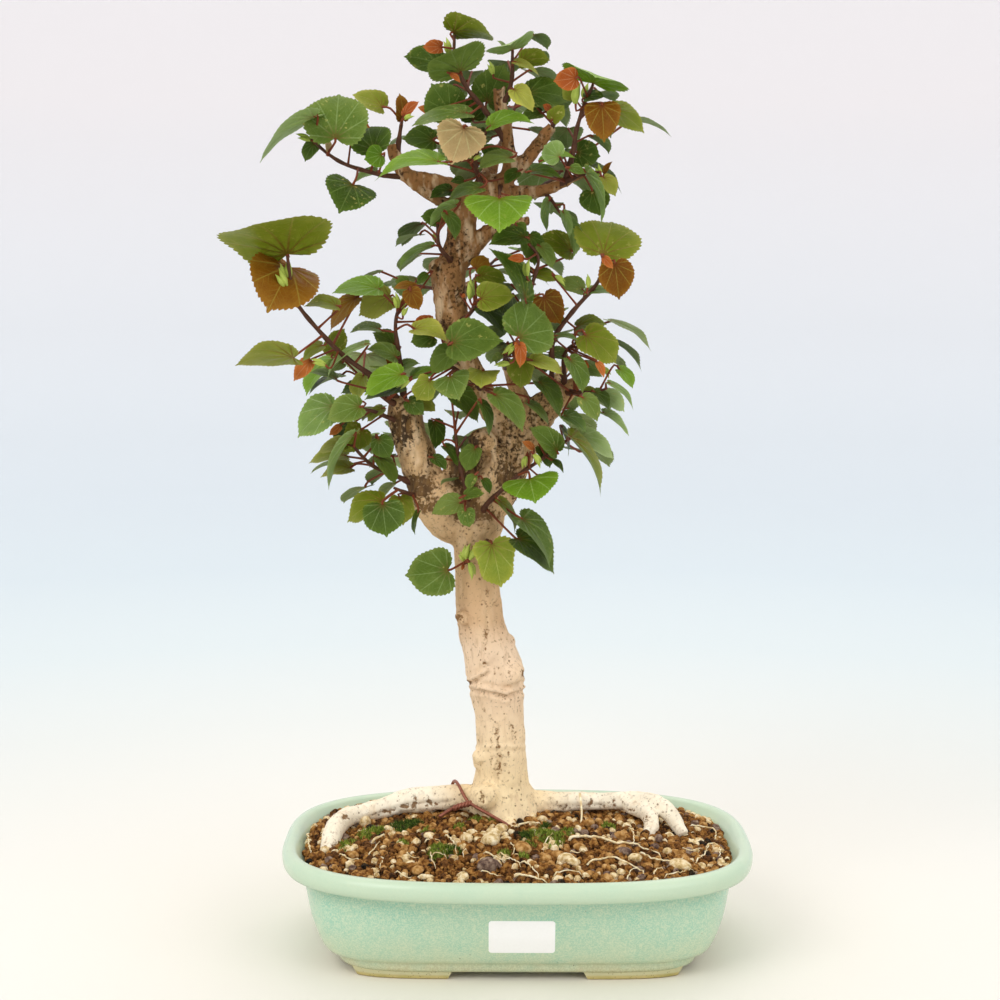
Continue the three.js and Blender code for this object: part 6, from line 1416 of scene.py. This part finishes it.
# Half a blade's edge from the notch at its stalk round a lobe to the tip: along and across
HEART_EDGE = [(0, 0), (-0.045, 0.05), (-0.1, 0.13), (-0.125, 0.23), (-0.095, 0.35), (0, 0.45),
              (0.14, 0.505), (0.3, 0.51), (0.46, 0.475), (0.6, 0.41), (0.72, 0.32), (0.81, 0.225),
              (0.875, 0.14), (0.93, 0.06), (1, 0)]
ROUND_EDGE = [(0, 0), (-0.04, 0.05), (-0.09, 0.14), (-0.105, 0.25), (-0.06, 0.38), (0.04, 0.475),
              (0.2, 0.525), (0.37, 0.525), (0.53, 0.49), (0.67, 0.42), (0.78, 0.325), (0.85, 0.225),
              (0.89, 0.13), (0.94, 0.045), (1, 0)]
OVAL_EDGE = [(0, 0), (-0.02, 0.08), (0, 0.2), (0.09, 0.35), (0.22, 0.43), (0.38, 0.46),
             (0.55, 0.42), (0.7, 0.33), (0.83, 0.2), (0.93, 0.08), (1, 0)]
# Teeth of half a blade, mesh steps to each tooth and rings from the stalk to the edge, by the
# blade's length in mm
FINENESS = [(26, 21, 4, 7), (17, 17, 4, 5), (10, 12, 3, 4), (0, 7, 3, 3)]
TOOTH = 0.065  # of the length
SMALL_LEAF = 9  # mm of reach up to which a blade is a plain oval
STALK_RADIUS = 0.6
BLADE_THICK = 0.34
RAGGED = {"m": 0.14, "o": 0.09}  # how far the outline bulges in and out, by kind
KINDS = "dgbopnrmku"
BUD_SWELL = [0.35, 0.62, 0.88, 1, 0.96, 0.8, 0.56, 0.27, 0.05]


def blade_skin(f, seed):
    """A closed toothed blade: points, faces, their side (0 upper, 1 under), flat places, and how
    near each point is to the edge."""
    rng = np.random.default_rng(seed)
    length, width = f["length"], f["width"]
    reach = max(length, width)
    _, teeth, per, rings = next(row for row in FINENESS if reach >= row[0])
    blunt = rng.random()
    edge = np.array(OVAL_EDGE) if reach <= SMALL_LEAF else (
        np.array(HEART_EDGE) * (1 - blunt) + np.array(ROUND_EDGE) * blunt)
    edge = smooth_path(edge, teeth * per + 1)[1:]
    step = np.arange(1, len(edge) + 1) % per / per
    tooth = np.where(np.arange(len(edge)) > 2, step**0.8, 0) * (0.7 + 0.6 * rng.random(len(edge)))
    tooth[-1] = 0.4
    halves = []
    for sign in (1, -1):
        bulge = 1 + RAGGED.get(f["kind"], 0.05) * np.sin(
            np.linspace(0, 11, len(edge)) + rng.random() * 6)
        out = edge * [1, sign] + (edge - [0.35, 0]) * [1, sign] * TOOTH * tooth[:, None]
        halves.append(out * np.stack([np.ones(len(edge)), bulge], 1))
    loop = np.concatenate([halves[0], halves[1][-2::-1]])
    share = (np.arange(1, rings + 1) / rings) ** 0.85
    # inner rings keep a smooth outline, the outermost has the teeth
    plain = np.concatenate([edge, (edge * [1, -1])[-2::-1]])
    weight = (share**5)[:, None, None]
    grid = share[:, None, None] * (plain[None] * (1 - weight) + loop[None] * weight)
    u, v = grid[..., 0], grid[..., 1]
    around = np.arctan2(v * width, u * length)
    radius = np.hypot(v * width, u * length) / reach
    phase = rng.random(4) * 2 * math.pi
    wave = 0.03 * reach * (np.sin(4 * around + phase[0]) + 0.5 * np.sin(9 * around + phase[1]))
    pucker = 0.009 * reach * np.cos(around * 2 * math.pi / 0.56) * np.sin(
        np.clip(radius / 0.5, 0, 1) * math.pi)
    fold = FOLD * (0.7 + 0.5 * rng.random())
    curl = 0.25 * (rng.random() - 0.55)
    height = (
        fold * (np.sqrt(v**2 + 0.0016) - 0.04) * width
        + ARCH * 4 * u * (1 - u) * length
        + curl * v**2 * width
        - 0.1 * np.clip(u - 0.6, 0, 1) ** 2 * length
        + wave * radius**2.2
        + pucker
    )
    height = height + 0.28 * (rng.random() - 0.5) * u * v * width
    half = 0.5 * BLADE_THICK * np.minimum(1, 2.2 * (1 - share))[:, None] * np.ones_like(u)

    def place(lift):
        return (f["base"] + f["rib"] * (u * length)[..., None]
                + f["across"] * (v * width)[..., None]
                + f["up"] * (height + lift)[..., None]).reshape(-1, 3)

    columns = grid.shape[1]
    rim = np.zeros((rings, columns), bool)
    rim[-1] = rim[:, 0] = rim[:, -1] = True
    inner = ~rim.ravel()
    index_top = np.arange(rings * columns).reshape(rings, columns) + 1
    index_low = index_top.copy()
    index_low[~rim] = 1 + rings * columns + np.arange(inner.sum())

    def both(start, upper, lower):
        """Values of the stalk's point, the upper side and the under side within the rim."""
        return np.concatenate([[start], upper, lower[inner]])

    points = both(f["base"], place(half), place(-half))
    flat = np.stack([u * length / reach, v * width / reach], -1).reshape(-1, 2)
    edging = np.repeat(share**9, columns)
    faces, sides = [], []
    for index, side in ((index_top, 0), (index_low, 1)):
        some = np.stack([index[:-1, :-1], index[1:, :-1], index[1:, 1:], index[:-1, 1:]],
                        -1).reshape(-1, 4).tolist()
        some += [(0, i, j) for i, j in zip(index[0, :-1].tolist(), index[0, 1:].tolist())]
        faces += [face[::-1] for face in some] if side else some
        sides += [side] * len(some)
    flat, edging = both((0, 0), flat, flat), both(0, edging, edging)
    return points, facing_out(points, faces), sides, flat, edging


def bud_skin(f):
    """Two folded young leaves, the first longer, that part at their points."""
    swell = np.array(BUD_SWELL) * max(0.7, f["width"] * 0.27)
    halves = []
    for side, tall in ((0.5, 1), (-0.6, 0.8)):
        path = np.array([blade_point(f, u * tall, side * (0.26 + 0.25 * u**2))
                         for u in np.linspace(0, 1, len(BUD_SWELL))])
        halves.append(skin_tube(path, swell * (0.6 + 0.4 * tall), 6))
    return together(halves)


# Leaf skins. A hibiscus blade has seven veins that spread from the stalk, paler than the skin and
# sunk into its upper side, with side veins between them and a fine net; its sheen is soft.
MAIN_VEINS = [0, 0.5, 1.02, 1.62]  # angles from the rib, in radians
VEIN_HALF = 0.0095  # of the blade's reach
SIDE_SPACING = 0.105
SIDE_SLANT = -1.1
NET_SCALE = 26  # meshes over the blade's reach
veins = bpy.data.node_groups.new("leaf_veins", "ShaderNodeTree")
for name in ("Main", "Side", "Net", "Reach"):
    veins.interface.new_socket(name, in_out="OUTPUT", socket_type="NodeSocketFloat")
flat_place = add_node(veins, "ShaderNodeUVMap", uv_map="blade").outputs[0]
angle = reckon(veins, "ARCTAN2", reckon(veins, "ABSOLUTE", axis(veins, flat_place, "Y")),
               axis(veins, flat_place, "X"))
reach = add_node(veins, "ShaderNodeVectorMath", {0: flat_place}, operation="LENGTH").outputs[1]
nearest = None
for vein in MAIN_VEINS:
    off = reckon(veins, "SINE", reckon(veins, "SUBTRACT", angle, vein))
    off = reckon(veins, "MULTIPLY", reckon(veins, "ABSOLUTE", off), reach)
    nearest = reckon(veins, "MINIMUM", nearest, off) if nearest else off
slim = remap(veins, reach, 0, 1.1, VEIN_HALF * 1.5, VEIN_HALF * 0.5)
main = remap(veins, reckon(veins, "DIVIDE", nearest, slim), 0.5, 1.5, 1, 0)
run = reckon(veins, "MULTIPLY_ADD", nearest, SIDE_SLANT, reach)
run = reckon(veins, "FRACT", reckon(veins, "DIVIDE", run, SIDE_SPACING))
run = reckon(veins, "ABSOLUTE", reckon(veins, "SUBTRACT", run, 0.5))
side = reckon(veins, "MULTIPLY", remap(veins, run, 0.03, 0.1, 1, 0),
              remap(veins, nearest, 0.03, 0.16, 1, 0.1))
net = add_node(veins, "ShaderNodeTexVoronoi", {"Vector": flat_place, "Scale": NET_SCALE},
               feature="DISTANCE_TO_EDGE").outputs["Distance"]
add_node(veins, "NodeGroupOutput", {"Main": main, "Side": side,
         "Net": remap(veins, net, 0.02, 0.12, 1, 0), "Reach": reach})


def leaf_surface(name, codes, vein_code, vein_share, roughness, flush=0.3, raised=-1, flecks=0.6):
    """Three skin colours for a blade from young to old, its vein colour and how strongly it shows,
    and how far the stalk's red runs into the veins. raised is 1 where the veins stand out, as on
    an underside."""
    made, tree, place = new_surface(name, Roughness=roughness, IOR=1.4, Specular_IOR_Level=0.14)
    lines = add_node(tree, "ShaderNodeGroup", node_tree=veins).outputs
    vein = blend(tree, remap(tree, lines["Reach"], 0.2 * flush, flush, 1, 0), vein_code, "#6E3A1C")
    tone = add_node(tree, "ShaderNodeAttribute", attribute_name="tone").outputs["Fac"]
    level = reckon(tree, "MULTIPLY_ADD", mottle(tree, place, 160, 3), 0.5, -0.25)
    skin = ramp(tree, reckon(tree, "ADD", level, tone), *zip((0, 0.5, 1), codes))
    fleck = remap(tree, mottle(tree, place, 430, 2), 0.63, 0.7, 0, flecks)
    group = remap(tree, mottle(tree, place, 40, 1), 0.45, 0.6)
    skin = blend(tree, reckon(tree, "MULTIPLY", fleck, group), skin, "#B8B060")
    for line, share in (("Net", 0.16), ("Side", 0.42), ("Main", 0.95)):
        skin = blend(tree, reckon(tree, "MULTIPLY", lines[line], share * vein_share), skin, vein)
    relief = reckon(tree, "MULTIPLY_ADD", lines["Side"], 0.6, lines["Main"])
    relief = reckon(tree, "MULTIPLY_ADD", lines["Net"], 0.3, relief)
    finish(tree, skin, reckon(tree, "MULTIPLY", relief, raised), 0.5, 0.0003)
    return made


def stem_surface(name, low, high, scale):
    """Young bark: smooth, faintly ribbed, with paler pores."""
    return two_toned(name, low, high, scale, 3, 0.3, Roughness=0.6, Specular_IOR_Level=0.25)


# Slots in this order: stem, stalk, then the upper side of each kind, then the undersides
SHOOT_SURFACES = [
    stem_surface("young_bark", "#301A0E", "#6E442E", 300),
    stem_surface("leaf_stalk", "#5E2614", "#8E4828", 200),
    leaf_surface("mature_leaf", ("#263604", "#405612", "#62742C"), "#7A9048", 0.4, 0.42),
    leaf_surface("green_leaf", ("#3A4E12", "#546A22", "#78883E"), "#93A866", 0.4, 0.42),
    leaf_surface("bright_leaf", ("#4C6C10", "#648618", "#84A436"), "#B0C878", 0.3, 0.45,
                 flecks=0.15),
    leaf_surface("olive_leaf", ("#52600E", "#6E7A1A", "#96983E"), "#A8A854", 0.55, 0.42, 0.8),
    leaf_surface("pale_leaf", ("#5A7434", "#7C9648", "#A2B674"), "#B4C48E", 0.4, 0.5),
    leaf_surface("bronze_leaf", ("#4A2804", "#724206", "#92641C"), "#A09038", 0.5, 0.4, flecks=0),
    leaf_surface("red_leaf", ("#7E300C", "#A04C14", "#C07030"), "#D8A878", 0.45, 0.4, flecks=0),
    leaf_surface("mottled_leaf", ("#5A7820", "#929A34", "#C4C056"), "#BCC068", 0.55, 0.42, 0.5),
    leaf_surface("pinkish_leaf", ("#A08658", "#CCAA78", "#DABE96"), "#D0C890", 0.5, 0.55,
                 flecks=0),
    stem_surface("leaf_bud", "#8CA032", "#BECA62", 250),
    leaf_surface("leaf_underside", ("#5C7038", "#74884C", "#94A46C"), "#B0B88A", 0.5, 0.6, 0.5, 1),
    leaf_surface("bronze_underside", ("#86703C", "#A08450", "#B49A68"), "#C8B080", 0.6, 0.6, 0.6,
                 1),
]
ROOTED = 6  # mm that a stem is let into the wood
EDGE_TONE = 0.35  # how much paler the rim of a blade is, on its scale from young to old
STEM_BUTT, STEM_SLIM = 0.85, 0.6  # the radius at root and tip as a share of the table's
STEM_SIDES, STALK_SIDES, STALK_STEP = 10, 7, 1.6
BLADE_CREASE = 60
UNDER_PLAIN, UNDER_BRONZE = len(SHOOT_SURFACES) - 2, len(SHOOT_SURFACES) - 1
# Blades that the front view shows behind their stem: shoot, row and mm to step back
STEP_BACK = [("shoot_far_left", 1, 15)]

for name, row, step in STEP_BACK:
    owner = next(i for i, shoot in enumerate(shoots) if shoot["name"] == name)
    f, stalk, _ = next(blade for blade in shoots[owner]["blades"]
                       if blade[2] == SHOOT_SEED + SEEDS_EACH * owner + row)
    sight = (f["base"] - EYE) / (f["base"][1] - EYE[1]) * step
    f["base"] = f["base"] + sight
    stalk[-1] = stalk[-1] + sight
wood_middles = np.concatenate([kept[0] for kept in placed if kept[4] == "wood"])
for shoot in shoots:
    rng = np.random.default_rng(len(shoot["name"]) * 31 + len(shoot["blades"]))
    parts, slots, tones, flats = [], [], [], []

    def grow(points, faces, slot_of_faces, tone=0.5, flat=None):
        parts.append((points, faces))
        slots.extend(np.broadcast_to(slot_of_faces, len(faces)).tolist())
        tones.append(np.broadcast_to(tone, len(points)))
        flats.append(np.zeros((len(points), 2)) if flat is None else flat)

    base = shoot["path"][0]
    into = wood_middles[np.linalg.norm(wood_middles - base, axis=1).argmin()] - base
    into *= min(1, ROOTED / max(0.1, math.sqrt(into @ into)))
    path = smooth_path([[*(base + into), shoot["stem"][0][3]]]
                       + [[*p, r] for p, (*_, r) in zip(shoot["path"], shoot["stem"])],
                       max(8, len(shoot["path"]) * 6))
    ring = 1 + 0.2 * np.clip(np.sin(np.linspace(0, 6 * len(shoot["path"]), len(path))), 0, 1)
    ring *= np.linspace(STEM_BUTT, STEM_SLIM, len(path))
    grow(*skin_tube(path[:, :3], path[:, 3] * ring, STEM_SIDES), 0)
    for f, stalk, seed in shoot["blades"]:
        count = max(6, int(math.dist(stalk[0], stalk[-1]) / STALK_STEP))
        thick = STALK_RADIUS * (0.75 + 0.25 * min(1, f["length"] / 20))
        share = np.linspace(0, 1, count)
        radii = thick * (1 + 0.5 * np.exp(-share * 9) + 0.25 * np.exp(-(1 - share) * 9))
        grow(*skin_tube(smooth_path(stalk, count), radii, STALK_SIDES), 1)
        upper = 2 + KINDS.index(f["kind"])
        if f["kind"] == "u":
            grow(*bud_skin(f), upper)
            continue
        points, faces, sides, flat, edging = blade_skin(f, seed)
        # the colour in the table is that of the side which the front view shows
        under = upper if f["under"] else UNDER_BRONZE if f["kind"] in "nrk" else UNDER_PLAIN
        grow(points, faces, np.where(sides, under, upper),
             np.clip(rng.normal(0.5, 0.22), 0, 1) + EDGE_TONE * edging, flat)
    name = shoot["name"]
    made = make_piece(name + "_foliage", *together(parts), SHOOT_SURFACES, "foliage", [name])
    made.data.set_sharp_from_angle(angle=math.radians(BLADE_CREASE))
    made.data.polygons.foreach_set("material_index", slots)
    set_attribute(made.data, "tone", np.concatenate(tones))
    loops = np.zeros(len(made.data.loops), np.int32)
    made.data.loops.foreach_get("vertex_index", loops)
    made.data.uv_layers.new(name="blade").data.foreach_set(
        "uv", np.concatenate(flats)[loops].astype(np.float32).ravel())

# A twist of soft copper-coloured aluminium wire that ties a root down: one end stands up behind
# the root, the two legs are twisted together in front of it and run down into the soil.
WIRE_RADIUS = 0.9
WIRE_LEGS = [
    [(-39, 58, 25), (-38, 70, 24), (-36, 80, 21.5), (-34.5, 85.6, 16), (-33, 86, 9),
     (-31, 83, 3.4), (-28.5, 78, 1), (-25.5, 73.5, -2.5)],
    [(-24.5, 74, -4), (-30, 72.6, -4.6), (-36, 70.6, -6), (-42, 66.6, -9)],
    [(-27, 75, -3.6), (-20, 70.8, -12.5), (-12, 66.2, -14.5), (-5, 61.8, -15.5), (0, 56, -16)],
]
TWIST = [(-24, 74.4, -5.2), (-28, 73.4, -6), (-31.5, 72.4, -6.4), (-34.5, 71.2, -7)]
TWIST_TURNS, TWIST_REACH = 3, 0.95
TWIST_STEPS, TWIST_THIN, WIRE_SIDES = 40, 0.9, 12
wires = []
for leg in WIRE_LEGS:
    places = [at(x, z, y) for x, z, y in leg]
    path = smooth_path(places, int(path_length(places)))
    wires.append(skin_tube(path, np.full(len(path), WIRE_RADIUS), WIRE_SIDES))
middle = smooth_path([at(x, z, y) for x, z, y in TWIST], TWIST_STEPS)
turn = 2 * math.pi * TWIST_TURNS * np.linspace(0, 1, TWIST_STEPS)
for half in (0, math.pi):
    offset = TWIST_REACH * np.stack([0 * turn, np.cos(turn + half), np.sin(turn + half)], 1)
    wires.append(skin_tube(middle + offset, np.full(TWIST_STEPS, WIRE_RADIUS * TWIST_THIN),
                           WIRE_SIDES))
# Anodised aluminium: a dull coppery brown, faintly drawn along its length
copper = two_toned("anodised_wire", "#6E3A2A", "#B0705A", 700, 3, Roughness=0.42, Metallic=0.55)
make_piece("copper_tie", *together(wires), [copper], "copper_wire", ["tie_wire"])

# A small blank label on the front of the pot: white satin film with round corners, stuck flat on
# the glaze, which curves away a little under it.
LABEL_LEFT, LABEL_RIGHT = -14.85, 18.65
LABEL_LOW, LABEL_HIGH = 17.3, 35.8
LABEL_CORNER = 1.6
LABEL_THICK = 0.16
LABEL_COLUMNS, LABEL_ROWS = 40, 14
wall = np.array(POT_WALL[9:14])
rings = []
for column in range(LABEL_COLUMNS + 1):
    share = 0.5 - 0.5 * math.cos(math.pi * column / LABEL_COLUMNS)
    x = LABEL_LEFT + (LABEL_RIGHT - LABEL_LEFT) * share
    near = max(0, LABEL_CORNER - min(x - LABEL_LEFT, LABEL_RIGHT - x))
    cut = LABEL_CORNER - math.sqrt(LABEL_CORNER**2 - near**2)
    z = np.linspace(LABEL_LOW + cut, LABEL_HIGH - cut, LABEL_ROWS)
    inset, power = (np.interp(z, wall[:, 0], wall[:, k]) for k in (1, 2))
    y = -(RIM_HALF_DEPTH - inset) * (
        1 - (abs(x) / (RIM_HALF_WIDTH - inset)) ** power) ** (1 / power)
    outer, inner = (np.stack([np.full(LABEL_ROWS, x), y + off, z], 1)
                    for off in (-LABEL_THICK, LABEL_THICK))
    rings.append(np.concatenate([outer, inner[::-1]]))
# Coated paper film: bright white, with a satin sheen and a hint of fibre
film = two_toned("satin_label_film", "#F8F8F8", "#FFFFFF", 800, 4, Roughness=0.35)
label = make_piece("label_sticker", *loft(rings), [film], "label", ["blank_label"])
label.data.set_sharp_from_angle(angle=math.radians(CREASE_ANGLE))
